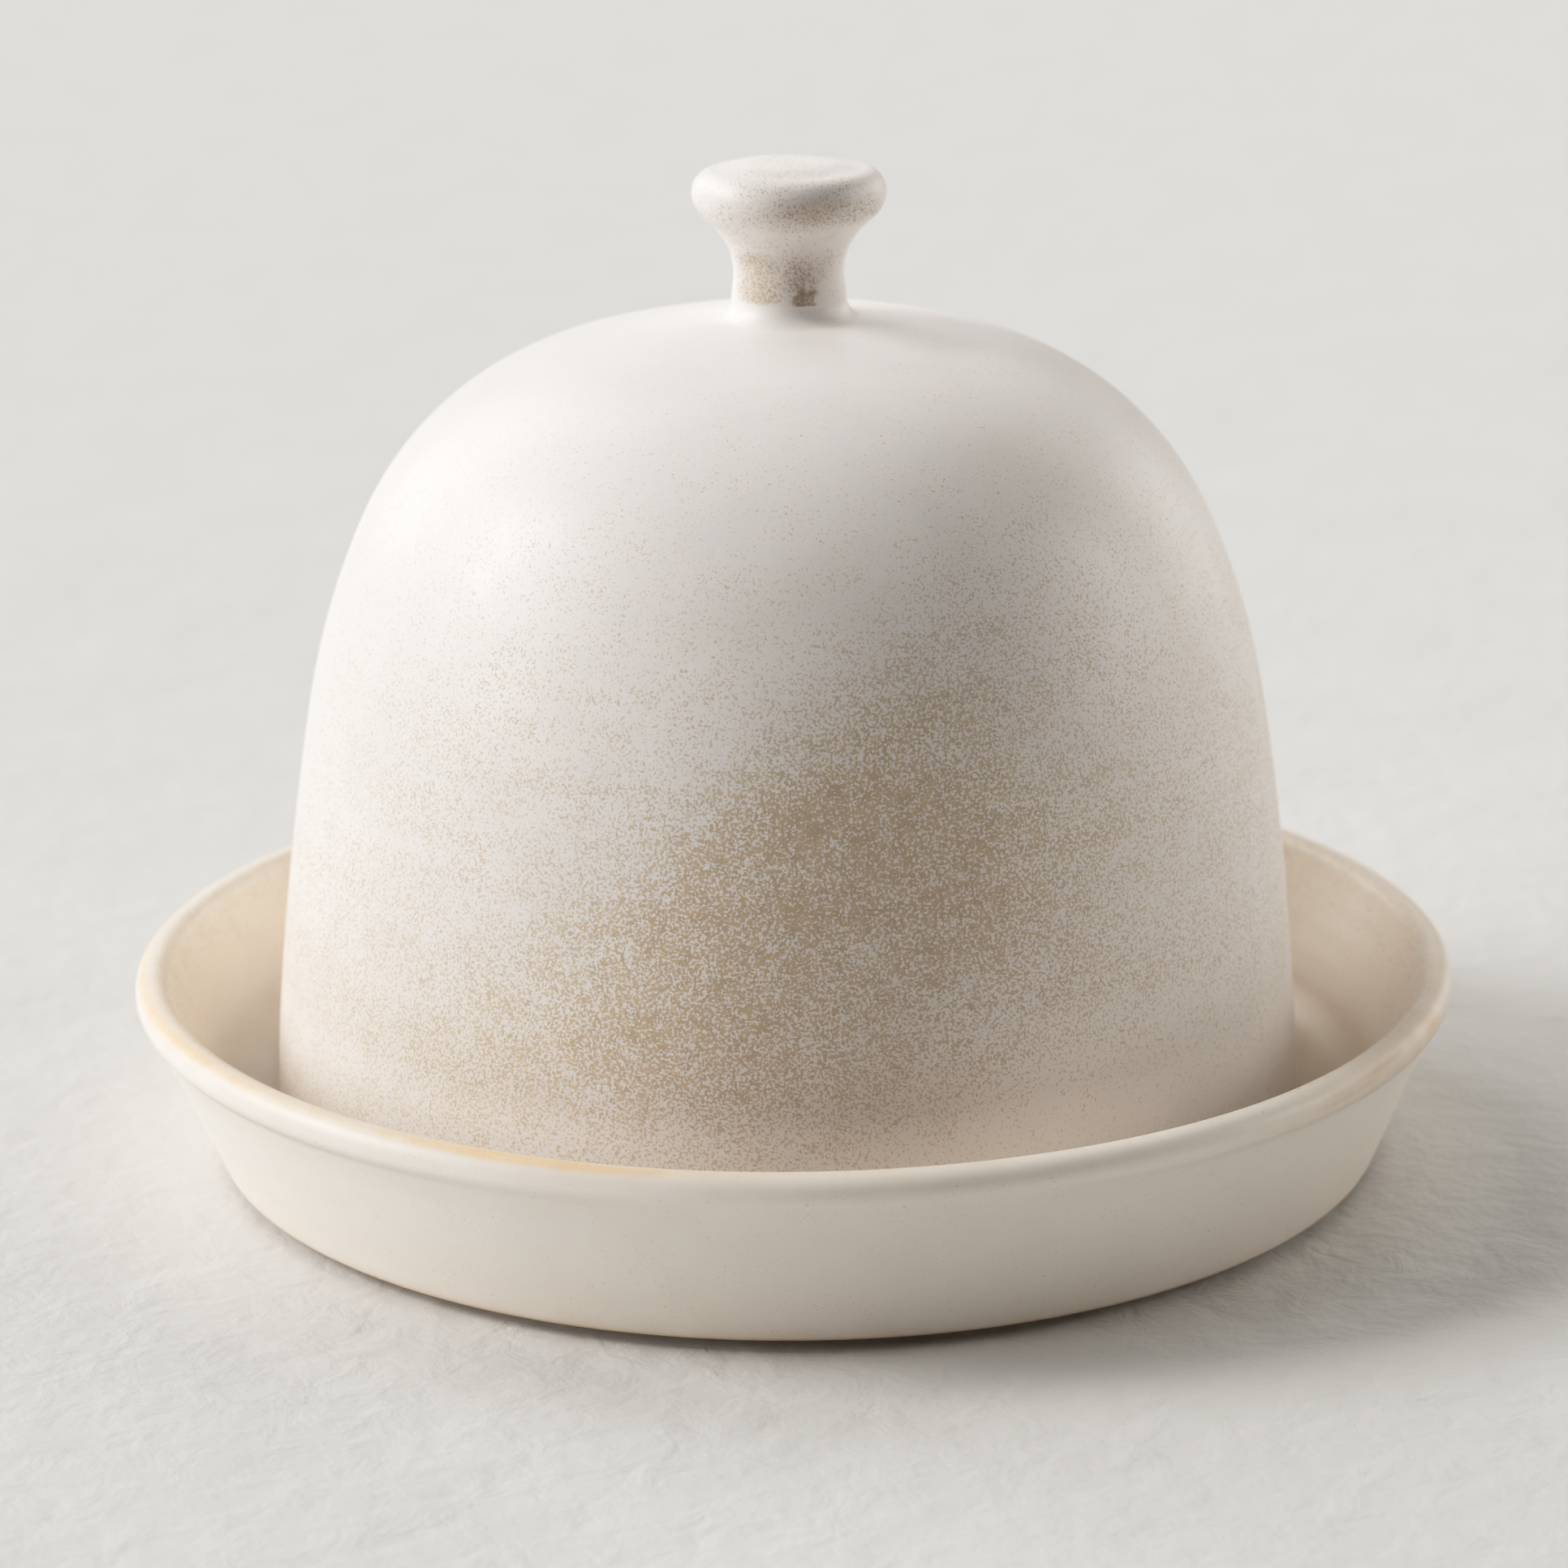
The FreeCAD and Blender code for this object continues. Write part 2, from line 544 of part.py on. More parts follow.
constrain(turning, "DistanceX", -1, 1, edge, 3, e_c[0], name="edge_centre_out",
          expr=ref("cap_radius") + " - " + ref("cap_edge_radius"))
constrain(turning, "DistanceY", -1, 1, core, 1, D["knob_height"],
          name="knob_height", expr=ref("knob_height"))
doc.recompute()
knob_turned = revolve(knob, turning, "knob_turned")
knob.Placement = FreeCAD.Placement(
    V(0, 0, D["floor_top"] + D["pad_height"]), FreeCAD.Rotation())
knob.setExpression("Placement.Base.z", ref("floor_top") + " + " + ref("pad_height"))
doc.recompute()

# --------------------------------------------------------------------------
# Check the document, then write one STEP file for each piece
# --------------------------------------------------------------------------
for obj in doc.Objects:
    bad = [state for state in obj.State if state in ("Invalid", "Error")]
    if bad:
        raise RuntimeError("%s is %s" % (obj.Name, bad))
for sketch in doc.findObjects("Sketcher::SketchObject"):
    if not sketch.FullyConstrained:
        raise RuntimeError("%s is not fully constrained" % sketch.Name)

os.makedirs("parts", exist_ok=True)
pieces = (dish, dome, knob)
for body in pieces:
    shape = body.Shape
    if shape.isNull() or not shape.isValid() or len(shape.Solids) != 1:
        raise RuntimeError("%s has no single valid solid" % body.Label)
for body in pieces:
    body.Shape.exportStep(os.path.join("parts", body.Label + ".step"))
    box = body.Shape.optimalBoundingBox()
    print("%-5s %9.1f mm3  r %.2f  z %.2f to %.2f" % (
        body.Label, body.Shape.Volume, box.XMax, box.ZMin, box.ZMax))
for a, b in ((dish, dome), (dome, knob), (dish, knob)):
    print("%s/%s overlap %.5f mm3, gap %.5f mm" % (
        a.Label, b.Label, a.Shape.common(b.Shape).Volume,
        a.Shape.distToShape(b.Shape)[0]))
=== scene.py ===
import math

import bpy
import numpy as np
from mathutils import Matrix, Vector


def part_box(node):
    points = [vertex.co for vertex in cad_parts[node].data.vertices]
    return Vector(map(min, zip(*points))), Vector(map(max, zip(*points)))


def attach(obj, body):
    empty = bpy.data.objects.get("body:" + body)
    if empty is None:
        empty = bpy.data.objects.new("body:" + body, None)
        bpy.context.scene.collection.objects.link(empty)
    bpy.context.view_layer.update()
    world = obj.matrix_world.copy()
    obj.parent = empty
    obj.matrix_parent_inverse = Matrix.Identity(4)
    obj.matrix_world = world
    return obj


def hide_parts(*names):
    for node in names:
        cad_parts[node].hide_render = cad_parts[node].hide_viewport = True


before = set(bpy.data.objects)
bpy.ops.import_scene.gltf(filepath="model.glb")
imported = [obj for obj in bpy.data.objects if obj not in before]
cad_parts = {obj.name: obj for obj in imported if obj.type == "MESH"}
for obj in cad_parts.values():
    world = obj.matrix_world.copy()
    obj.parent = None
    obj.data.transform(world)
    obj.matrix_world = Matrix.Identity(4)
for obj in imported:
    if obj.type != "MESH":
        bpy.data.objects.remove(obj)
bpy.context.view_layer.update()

# ---------------------------------------------------------------- where the CAD pieces are (mm)
MM = 0.001


def box_mm(node):
    lo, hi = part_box(node)
    return [c / MM for c in lo], [c / MM for c in hi]


DISH_LO, DISH_HI = box_mm("dish")
DOME_LO, DOME_HI = box_mm("dome")
KNOB_LO, KNOB_HI = box_mm("knob")
RIM_R = DISH_HI[0]            # outer radius of the rolled rim
DISH_H = DISH_HI[2]           # height of the rim
FLOOR_Z = DOME_LO[2]          # the dish floor, on which the dome stands
DOME_R = DOME_HI[0]           # foot of the dome
SEAT_Z = KNOB_LO[2]           # top of the luting pad, where the knob joins
KNOB_R = KNOB_HI[0]
KNOB_H = KNOB_HI[2] - KNOB_LO[2]
PAD_Z = SEAT_Z - FLOOR_Z      # pad height above the foot of the dome


# ---------------------------------------------------------------- small maths helpers
def smooth(x, a, b):
    t = np.clip((np.asarray(x, float) - a) / (b - a), 0.0, 1.0)
    return t * t * (3 - 2 * t)


def bell(x, c, w):
    return np.exp(-(((np.asarray(x, float) - c) / w) ** 2))


def wrap(deg):
    return (np.asarray(deg, float) + 180.0) % 360.0 - 180.0


class Drift:
    """A smooth noise over angle and length along the profile, periodic in angle and the same on every run."""

    def __init__(self, seed, turns, length, count=14):
        rng = np.random.RandomState(seed)
        self.k = rng.randint(-turns, turns + 1, count)
        self.m = rng.uniform(-1, 1, count) * 2 * math.pi / length
        self.p = rng.uniform(0, 2 * math.pi, count)
        self.a = rng.uniform(0.5, 1.0, count)
        self.a /= np.sqrt((self.a**2).sum() / 2)

    def __call__(self, phi_deg, s):
        f = np.radians(phi_deg)
        out = np.zeros_like(np.asarray(s, float) + f)
        for k, m, p, a in zip(self.k, self.m, self.p, self.a):
            out = out + a * np.cos(k * f + m * s + p)
        return out


def arc(c, r, a0, a1, step):
    n = max(2, int(math.ceil(abs(a1 - a0) * r / step)))
    return [(c[0] + r * math.cos(a), c[1] + r * math.sin(a)) for a in np.linspace(a0, a1, n + 1)]


def line(p, q, step):
    n = max(1, int(math.ceil(math.dist(p, q) / step)))
    return [(p[0] + (q[0] - p[0]) * t, p[1] + (q[1] - p[1]) * t) for t in np.linspace(0, 1, n + 1)]


def join(*parts):
    """Joins tagged runs of points into one chain and drops repeated points."""
    pts, tags = [], []
    for tag, run in parts:
        for p in run:
            if pts and math.dist(pts[-1], p) < 0.02:
                continue
            pts.append(p)
            tags.append(tag)
    return np.array(pts, float), np.array(tags)


def turned(name, pts, tags, segments, shape, paint, sharp=()):
    """A piece thrown on the wheel: the chain (r, z) in mm is turned round the axis. shape() moves the points off the perfect turning,
    paint() gives the glaze's state at each point. Angle 0 faces the camera's side (-Y) and grows towards +X."""
    pts = pts.copy()
    on_axis = pts[:, 0] < 1e-6
    s = np.r_[0, np.cumsum(np.hypot(np.diff(pts[:, 0]), np.diff(pts[:, 1])))]
    tan = np.gradient(pts, s, axis=0)
    tan /= np.maximum(np.linalg.norm(tan, axis=1, keepdims=True), 1e-9)
    ang = 2 * math.pi * np.arange(segments) / segments
    R, Z, PHI, S, TAG, NR, NZ = [], [], [], [], [], [], []
    start = []
    for i, (r, z) in enumerate(pts):
        start.append(len(R) if not R else sum(len(a) for a in R))
        n = 1 if on_axis[i] else segments
        R.append(np.full(n, r)); Z.append(np.full(n, z)); S.append(np.full(n, s[i]))
        PHI.append(np.zeros(n) if on_axis[i] else np.degrees(ang))
        TAG.append(np.full(n, tags[i]))
        NR.append(np.full(n, tan[i, 1])); NZ.append(np.full(n, -tan[i, 0]))
    R, Z, PHI, S, TAG, NR, NZ = (np.concatenate(a) for a in (R, Z, PHI, S, TAG, NR, NZ))
    faces = []
    idx = np.arange(segments)
    nxt = (idx + 1) % segments
    for i in range(len(pts) - 1):
        a, b = start[i], start[i + 1]
        if on_axis[i] and not on_axis[i + 1]:
            faces += [(a, b + int(j), b + int(k)) for j, k in zip(idx, nxt)]
        elif on_axis[i + 1] and not on_axis[i]:
            faces += [(a + int(k), a + int(j), b) for j, k in zip(idx, nxt)]
        else:
            faces += [(a + int(k), a + int(j), b + int(j), b + int(k)) for j, k in zip(idx, nxt)]
    fields = {"r": R, "z": Z, "phi": wrap(PHI), "s": S, "tag": TAG, "nr": NR, "nz": NZ}
    x, y, z = shape(fields)
    co = np.c_[x, y, z] * MM
    mesh = bpy.data.meshes.new(name)
    mesh.from_pydata(co.tolist(), [], faces)
    # outward faces: the signed volume of a closed mesh is positive
    mesh.calc_loop_triangles()
    tri = np.zeros(len(mesh.loop_triangles) * 3, np.int32)
    mesh.loop_triangles.foreach_get("vertices", tri)
    t = co[tri.reshape(-1, 3)]
    if np.einsum("ij,ij->i", t[:, 0], np.cross(t[:, 1], t[:, 2])).sum() < 0:
        mesh.flip_normals()
    mesh.polygons.foreach_set("use_smooth", np.ones(len(mesh.polygons), bool))
    if sharp:
        rings = set()
        for i, p in enumerate(pts):
            if any(math.dist(p, q) < 1e-3 for q in sharp):
                rings.add(i)
        edge_v = np.zeros(len(mesh.edges) * 2, np.int32)
        mesh.edges.foreach_get("vertices", edge_v)
        edge_v = edge_v.reshape(-1, 2)
        flag = np.zeros(len(mesh.edges), bool)
        for i in rings:
            lo, hi = start[i], start[i] + segments
            flag |= ((edge_v >= lo) & (edge_v < hi)).all(1)
        mesh.attributes.new("sharp_edge", "BOOLEAN", "EDGE").data.foreach_set("value", flag)
    for key, values in paint(fields).items():
        mesh.attributes.new(key, "FLOAT", "POINT").data.foreach_set("value", np.asarray(values, np.float32))
    mesh.validate()
    ob = bpy.data.objects.new(name, mesh)
    bpy.context.scene.collection.objects.link(ob)
    return ob


def logit(t):
    """How thin the glaze is, in units of the speck noise's spread, for a wanted share of bare body."""
    t = np.clip(t, 0.004, 0.996)
    return np.log(t / (1 - t)) / 1.702


def placed(f, radial, up, dx=0.0, dy=0.0):
    a = np.radians(f["phi"])
    return radial * np.sin(a) + dx, -radial * np.cos(a) + dy, up


# ---------------------------------------------------------------- the dish
TURN = math.radians(22.7)     # lean of the wall from upright
K = RIM_R / 88.0
dish_chain, dish_tags = join(
    ("under", line((0.0, 1.45), (67.3, 1.45), 3.0)),
    ("foot", arc((67.3, 0.95), 0.5, math.radians(90), math.radians(0), 0.16)),
    ("foot", arc((68.3, 0.5), 0.5, math.radians(180), math.radians(270), 0.16)),
    ("foot", line((68.3, 0.0), (73.0, 0.0), 0.8)),
    ("foot", arc((73.0, 0.5), 0.5, math.radians(-90), math.radians(0), 0.16)),
    ("foot", arc((74.0, 0.95), 0.5, math.radians(180), math.radians(90), 0.16)),
    ("under", line((74.0, 1.45), (76.702, 1.45), 0.7)),
    ("heel", arc((76.702, 3.10), 1.65, math.radians(-90), -TURN, 0.2)),
    ("wall", line((78.2242, 2.4633), (86.1795, 21.4819), 0.55)),
    ("crease", arc((87.3327, 20.9995), 1.25, math.radians(157.3), math.radians(117.67), 0.16)),
    ("rim", arc((85.67, 24.17), 2.33, math.radians(-62.3), math.radians(157.3), 0.16)),
    ("inner", line((83.5205, 25.0692), (77.280, 10.151), 0.5)),
    ("inner", arc((70.5935, 12.95), 7.25, -TURN, math.radians(-90), 0.5)),
    ("floor", line((70.5935, 5.7), (0.0, 5.7), 1.6)),
)
wob_dish = Drift(11, 3, 60.0)
ring_dish = Drift(12, 2, 40.0)
rim_wob = Drift(13, 4, 90.0)


def dish_shape(f):
    r, z, phi, s = f["r"], f["z"], f["phi"], f["s"]
    on_wall = np.where(f["tag"] == "inner", smooth(z, 6.5, 11.0), smooth(z, 2.2, 6.0)) * np.isin(f["tag"], ["heel", "wall", "crease", "rim", "inner"])
    inner = np.isin(f["tag"], ["inner"]) * smooth(z, 6.0, 9.0)
    # throwing rings, faint on the wall and clearer inside
    rings = np.sin(2 * math.pi * (z + 0.010 * phi) / 3.6 + 0.9 * ring_dish(phi, s)) * 0.010
    soft = wob_dish(phi, s) * 0.035
    off = on_wall * (soft + rings * (0.6 + 1.2 * inner))
    floor = np.isin(f["tag"], ["floor"]) * (1 - smooth(r, 50.0, 58.0)) * smooth(r, 3.0, 9.0)
    lift = floor * (0.03 * np.sin(2 * math.pi * (r - phi / 360.0 * 5.2) / 5.2) - 0.03)
    radial = r + off * f["nr"]
    up = z + off * f["nz"] + lift
    # glaze and a wet sponge have softened the crease under the roll, most of all at the front
    low, high = 18.6, 23.5
    r_low = 86.1795 - (21.4819 - low) * math.tan(TURN)
    r_high = 85.67 + math.sqrt(2.33**2 - (24.17 - high) ** 2)
    line_r = r_low + (r_high - r_low) * (z - low) / (high - low)
    outer = np.isin(f["tag"], ["wall", "crease", "rim"]) & (z > low) & (z < high) & (r > 84.9)
    soft_fill = 0.46 + 0.44 * bell(wrap(phi), 4, 45) + 0.16 * bell(wrap(phi - 75), 0, 40)
    radial = radial + np.where(outer, np.clip(line_r - r, 0, None) * np.clip(soft_fill, 0, 0.9), 0.0)
    # the rim is never quite level or round
    rise = smooth(z, 12.0, 26.0) * on_wall
    radial = radial - 0.06 * rise * (1 + rim_wob(phi, 0.0) * 0.5)
    up = up - 0.05 * rise * (1 + 0.7 * rim_wob(phi, 30.0)) - 0.45 * rise * bell(wrap(phi + 126), 0, 40)
    # the foot was turned half a millimetre off the rim's centre
    outside = np.isin(f["tag"], ["under", "foot", "heel", "wall"])
    x, y, up = placed(f, radial, up, dx=0.5 * outside * (1 - smooth(z, 1.0, 20.0)) * smooth(r, 40.0, 60.0))
    return x * K, y * K, np.clip(up, 0.0, DISH_H)


def dish_paint(f):
    r, z, phi, s = f["r"], f["z"], f["phi"], f["s"]
    tag = f["tag"]
    top = np.arctan2(z - 24.17, r - 85.67)                 # angle round the roll of the rim, 0 outward, 90 up
    top = np.degrees(top)
    on_rim = np.isin(tag, ["rim", "crease"])
    inside = np.isin(tag, ["inner", "floor"]) | (on_rim & (top > 95))
    inside_soft = np.where(np.isin(tag, ["inner", "floor"]), 1.0, np.where(on_rim, smooth(top, 70, 130), 0.0))
    d = Drift(21, 5, 30.0)(phi, s)
    e = Drift(22, 9, 14.0)(phi, s)
    bare = np.full_like(z, 0.035)
    ochre = np.zeros_like(z)
    iron = np.zeros_like(z)
    # inside: thinner, warmer glaze with a fine pale speckle towards the rim
    bare = bare + inside_soft * (0.04 + 0.13 * smooth(z, 14, 25) + 0.02 * d)
    # golden edge where the glaze breaks over the top of the roll, strongest at the front left
    along = 0.26 + 0.80 * bell(wrap(phi + 21), 0, 12) + 0.40 * bell(wrap(phi + 64), 0, 27) + 0.25 * bell(wrap(phi + 120), 0, 50) - 0.24 * bell(wrap(phi - 30), 0, 36) + 0.06 * bell(wrap(phi - 78), 0, 20)
    left = bell(wrap(phi + 96), 0, 36)
    edge = np.where(on_rim, bell(top, 72 - 26 * left, 20 + 6 * left), 0.0) + 0.40 * np.where(on_rim, bell(top, 108, 24), 0.0) + 0.3 * np.where(tag == "inner", bell(z, 25.4, 1.4), 0.0)
    gold = np.clip(edge * along * (1 + 0.22 * d + 0.12 * e), 0, 1)
    stain = 0.95 * gold
    ochre = np.maximum(ochre, gold)
    bare = np.maximum(bare, 0.30 * smooth(gold, 0.3, 1.0))
    # a darker pink line in the crease under the roll, clearest on the left: partly the glaze's own colour there, partly
    # painted shade standing in for the crease's shadow
    crease = np.where(np.isin(tag, ["crease", "rim", "wall"]), bell(z, 21.9, 0.5), 0.0) * (0.02 + 0.60 * bell(wrap(phi + 72), 0, 32) + 0.30 * bell(wrap(phi - 80), 0, 30))
    blush = 0.60 * crease * (1 + 0.3 * d)
    # the top of the roll is painted pinker and darker, most at the front left: partly clay warming the thin glaze,
    # partly painted shade that dims the highlight on the roll
    blush = np.maximum(blush, np.where(on_rim, (0.12 + 0.11 * bell(wrap(phi + 18), 0, 32)) * smooth(top, -20, 30) * (1 - smooth(top, 110, 140)), 0.0))
    # smudges on the outside of the rim at the right
    face = on_rim & (top > -62) & (top < 100)
    smear = bell(wrap(phi - 56), 0, 7.5) * np.where(face, bell(z - 0.05 * wrap(phi - 56), 25.3, 0.38), 0.0) * smooth(np.sin(0.9 * wrap(phi)) + 0.6 * e, -1.0, 0.8)
    smear = smear + 0.50 * bell(wrap(phi - 52), 0, 4.5) * np.where(face, bell(z - 0.05 * wrap(phi - 52), 24.3, 0.32), 0.0)
    warm = bell(wrap(phi - 64), 0, 20) * np.where(face, 1.0, 0.0)
    drop = bell(wrap(phi - 69), 0, 2.2) * np.where(face, bell(z, 25.4, 0.8), 0.0)
    blush = np.maximum(blush, 0.38 * warm + 0.42 * np.clip(smear, 0, 1))
    stain = np.maximum(stain, np.clip(0.18 * warm + 0.35 * smear + 0.8 * drop, 0, 1))
    # the fold between floor and wall keeps more iron, most at the right front; this golden-brown stain is also painted
    # shade, laid darker on the floor where the top light falls and lighter along the fold line
    fold = np.isin(tag, ["inner", "floor"]) * smooth(r, 60, 69) * (1 - smooth(z, 6.5, 14.0))
    side = bell(wrap(phi - 72), 0, 42)
    honey = (0.76 + 0.16 * (1 - smooth(z, 5.75, 6.7)) - 0.16 * bell(z, 7.6, 1.9)) * fold * side
    stain = np.maximum(stain, 0.19 * (tag == "inner") * bell(wrap(phi + 110), 0, 42) * smooth(z, 11, 19))
    inside_soft = inside_soft * (1 - 0.35 * bell(wrap(phi), 0, 58))
    # painted light: low on the left the inside is paler, lightening the corner beside the dome's foot
    inside_soft = inside_soft * (1 - 0.55 * np.isin(tag, ["inner", "floor"]) * bell(wrap(phi + 80), 0, 28) * (1 - smooth(z, 9, 19)))
    # the foot ring is left bare, and the heel is thinly glazed
    heel = np.where(np.isin(tag, ["heel", "under", "wall"]), bell(z, 1.5, 0.9), 0.0)
    blush = np.maximum(blush, 0.60 * heel)
    stain = np.maximum(stain, 0.55 * heel)
    # painted shade: the lower wall is tinted a little warmer and darker, and its lowest few millimetres darken further,
    # most at the front, standing in for the contact shadow at the table
    stain = np.maximum(stain, 0.06 * (tag == "wall") * (1 - smooth(z, 4, 15)))
    low = 0.14 * (1 - smooth(z, 1.5, 11.0)) + 0.26 * (1 - smooth(z, 0.8, 4.5))
    blush = np.maximum(blush, np.isin(tag, ["wall", "heel"]) * low * (0.35 + 0.65 * bell(wrap(phi), 0, 65)))
    foot = np.where(tag == "foot", 1.0 - smooth(z, 0.9, 1.4), 0.0)
    bare = np.maximum(bare, foot)
    return {"thin": logit(bare), "ochre": ochre, "iron": iron, "inside": inside_soft, "clay": foot, "deep": 0.35 + 0.65 * foot, "stain": stain, "blush": blush, "honey": honey}


# ---------------------------------------------------------------- the dome
C_E, R_E = (67.35, 1.35), 1.35
C_A, R_A = (-348.96235717, -15.42032402), 418.0
C_B, R_B = (-29.40020333, 40.39535328), 93.6
C_C, R_C = (17.66189533, 62.74639061), 41.5
C_D, R_D = (0.0, -8.6), 115.0
T_AB, T_BC, T_CD, T_EA = 0.1729186399, 0.4433883571, 1.3281235997, 0.0402612638
WALL = 4.6
PAD_R = 7.45
# the slip fillet round the pad: a quarter turn from the pad's edge that runs out along the crown
RHO = (PAD_R**2 + (PAD_Z - C_D[1]) ** 2 - R_D**2) / (2 * (R_D - PAD_R))
FLARE = (PAD_R + RHO, PAD_Z)


def ang(c, p):
    return math.atan2(p[1] - c[1], p[0] - c[0])


TOUCH = (C_D[0] + R_D * (FLARE[0] - C_D[0]) / (R_D + RHO), C_D[1] + R_D * (FLARE[1] - C_D[1]) / (R_D + RHO))
a_touch = ang(C_D, TOUCH)
a_flare = ang(FLARE, TOUCH)
a_cd = ang(C_D, (27.634258, 103.030407))
# the four arcs of the outside, and the same centres with the wall taken off for the inside; these angles are measured from +r
outside = [(C_D, R_D, a_touch, a_cd), (C_C, R_C, a_cd, ang(C_C, (55.14897968, 80.55))),
           (C_B, R_B, ang(C_B, (55.14897968, 80.55)), ang(C_B, (62.80391997, 56.5))), (C_A, R_A, ang(C_A, (62.80391997, 56.5)), T_EA)]
lip_in = (C_A[0] + (R_A - WALL + R_E) * math.cos(0), C_E[1])
r_in0 = C_A[0] + math.sqrt((R_A - WALL) ** 2 - (R_E - C_A[1]) ** 2)     # inner wall's radius beside the lip
lip_in = (r_in0 + R_E, R_E)
inside_arcs = [(C_A, R_A - WALL, ang(C_A, (r_in0, R_E)), ang(C_A, (62.80391997, 56.5))), (C_B, R_B - WALL, ang(C_B, (62.80391997, 56.5)), ang(C_B, (55.14897968, 80.55))),
               (C_C, R_C - WALL, ang(C_C, (55.14897968, 80.55)), a_cd), (C_D, R_D - WALL, a_cd, math.pi / 2)]
dome_parts = [("pad", line((0.0, PAD_Z), (PAD_R, PAD_Z), 1.2)), ("pad", arc(FLARE, RHO, math.pi, a_flare if a_flare > 0 else a_flare + 2 * math.pi, 0.16))]
steps = [0.85, 0.8, 0.8, 0.8]
for (c, rad, a0, a1), st in zip(outside, steps):
    dome_parts.append(("outer", arc(c, rad, a0, a1, st)))
dome_parts.append(("lip", arc(C_E, R_E, T_EA, -math.pi / 2, 0.2)))
dome_parts.append(("lip", line((C_E[0], 0.0), (lip_in[0], 0.0), 0.5)))
dome_parts.append(("lip", arc(lip_in, R_E, -math.pi / 2, -math.pi, 0.2)))
for c, rad, a0, a1 in inside_arcs:
    dome_parts.append(("inner", arc(c, rad, a0, a1, 2.0)))
dome_chain, dome_tags = join(*dome_parts)
dome_chain[-1, 0] = 0.0
LID_DX = -1.0                 # the lid stands a little left of the dish's centre
LEAN = 0.0055                 # it leans a little to the right as it was thrown
KNOB_DX = 0.57                # and its knob was luted a little off centre
wob_dome = Drift(31, 3, 90.0)
wob_fine = Drift(32, 6, 34.0)
ring_dome = Drift(33, 2, 70.0)
ring_gain = Drift(34, 2, 45.0)


def dome_shape(f):
    r, z, phi, s = f["r"], f["z"], f["phi"], f["s"]
    outer = (f["tag"] == "outer") * smooth(z, 2.5, 9.0) * smooth(r, 11.0, 22.0)
    inner = (f["tag"] == "inner") * smooth(z, 2.5, 9.0) * smooth(r, 4.0, 12.0)
    rings = np.sin(2 * math.pi * (z + phi / 360.0 * 4.3) / 4.3 + 0.8 * ring_dome(phi, s))
    gain = 0.55 + 0.45 * bell(z, 66, 18) + 0.25 * ring_gain(phi, s)
    off = outer * (rings * 0.0075 * gain + 0.05 * wob_dome(phi, s) + 0.012 * wob_fine(phi, s))
    off = off + inner * (0.045 * np.sin(2 * math.pi * (z + phi / 360.0 * 6.0) / 6.0) + 0.05 * wob_dome(phi, s + 40))
    radial = r + off * f["nr"] * np.where(f["tag"] == "inner", 1, 1)
    up = z + off * f["nz"]
    dx = LID_DX + LEAN * z + KNOB_DX * (1 - smooth(r, 8.2, 16.0)) * smooth(z, 95.0, 103.0)
    x, y, up = placed(f, radial, up, dx=dx)
    up = np.clip(up, 0.0, None)
    return x, y, up + FLOOR_Z


def band(phi, z):
    """The drift of thin glaze that climbs from lower left to the middle right, as a share of bare body."""
    u = wrap(phi) * 1.13
    d = 0.617 * (u + 40) - 0.787 * (z - 35)
    t = 0.787 * (u + 40) + 0.617 * (z - 35)
    along = 0.50 * np.exp(-np.where(t < 56, ((t - 56) / 50.0) ** 2, ((t - 56) / 22.0) ** 2))
    rise = smooth(d, -11.0, 7.0)
    fall = np.where(d < 12, 1.0, np.exp(-(((d - 12) / 27.0) ** 2)))
    return along * rise * fall * (np.abs(wrap(phi)) < 100)


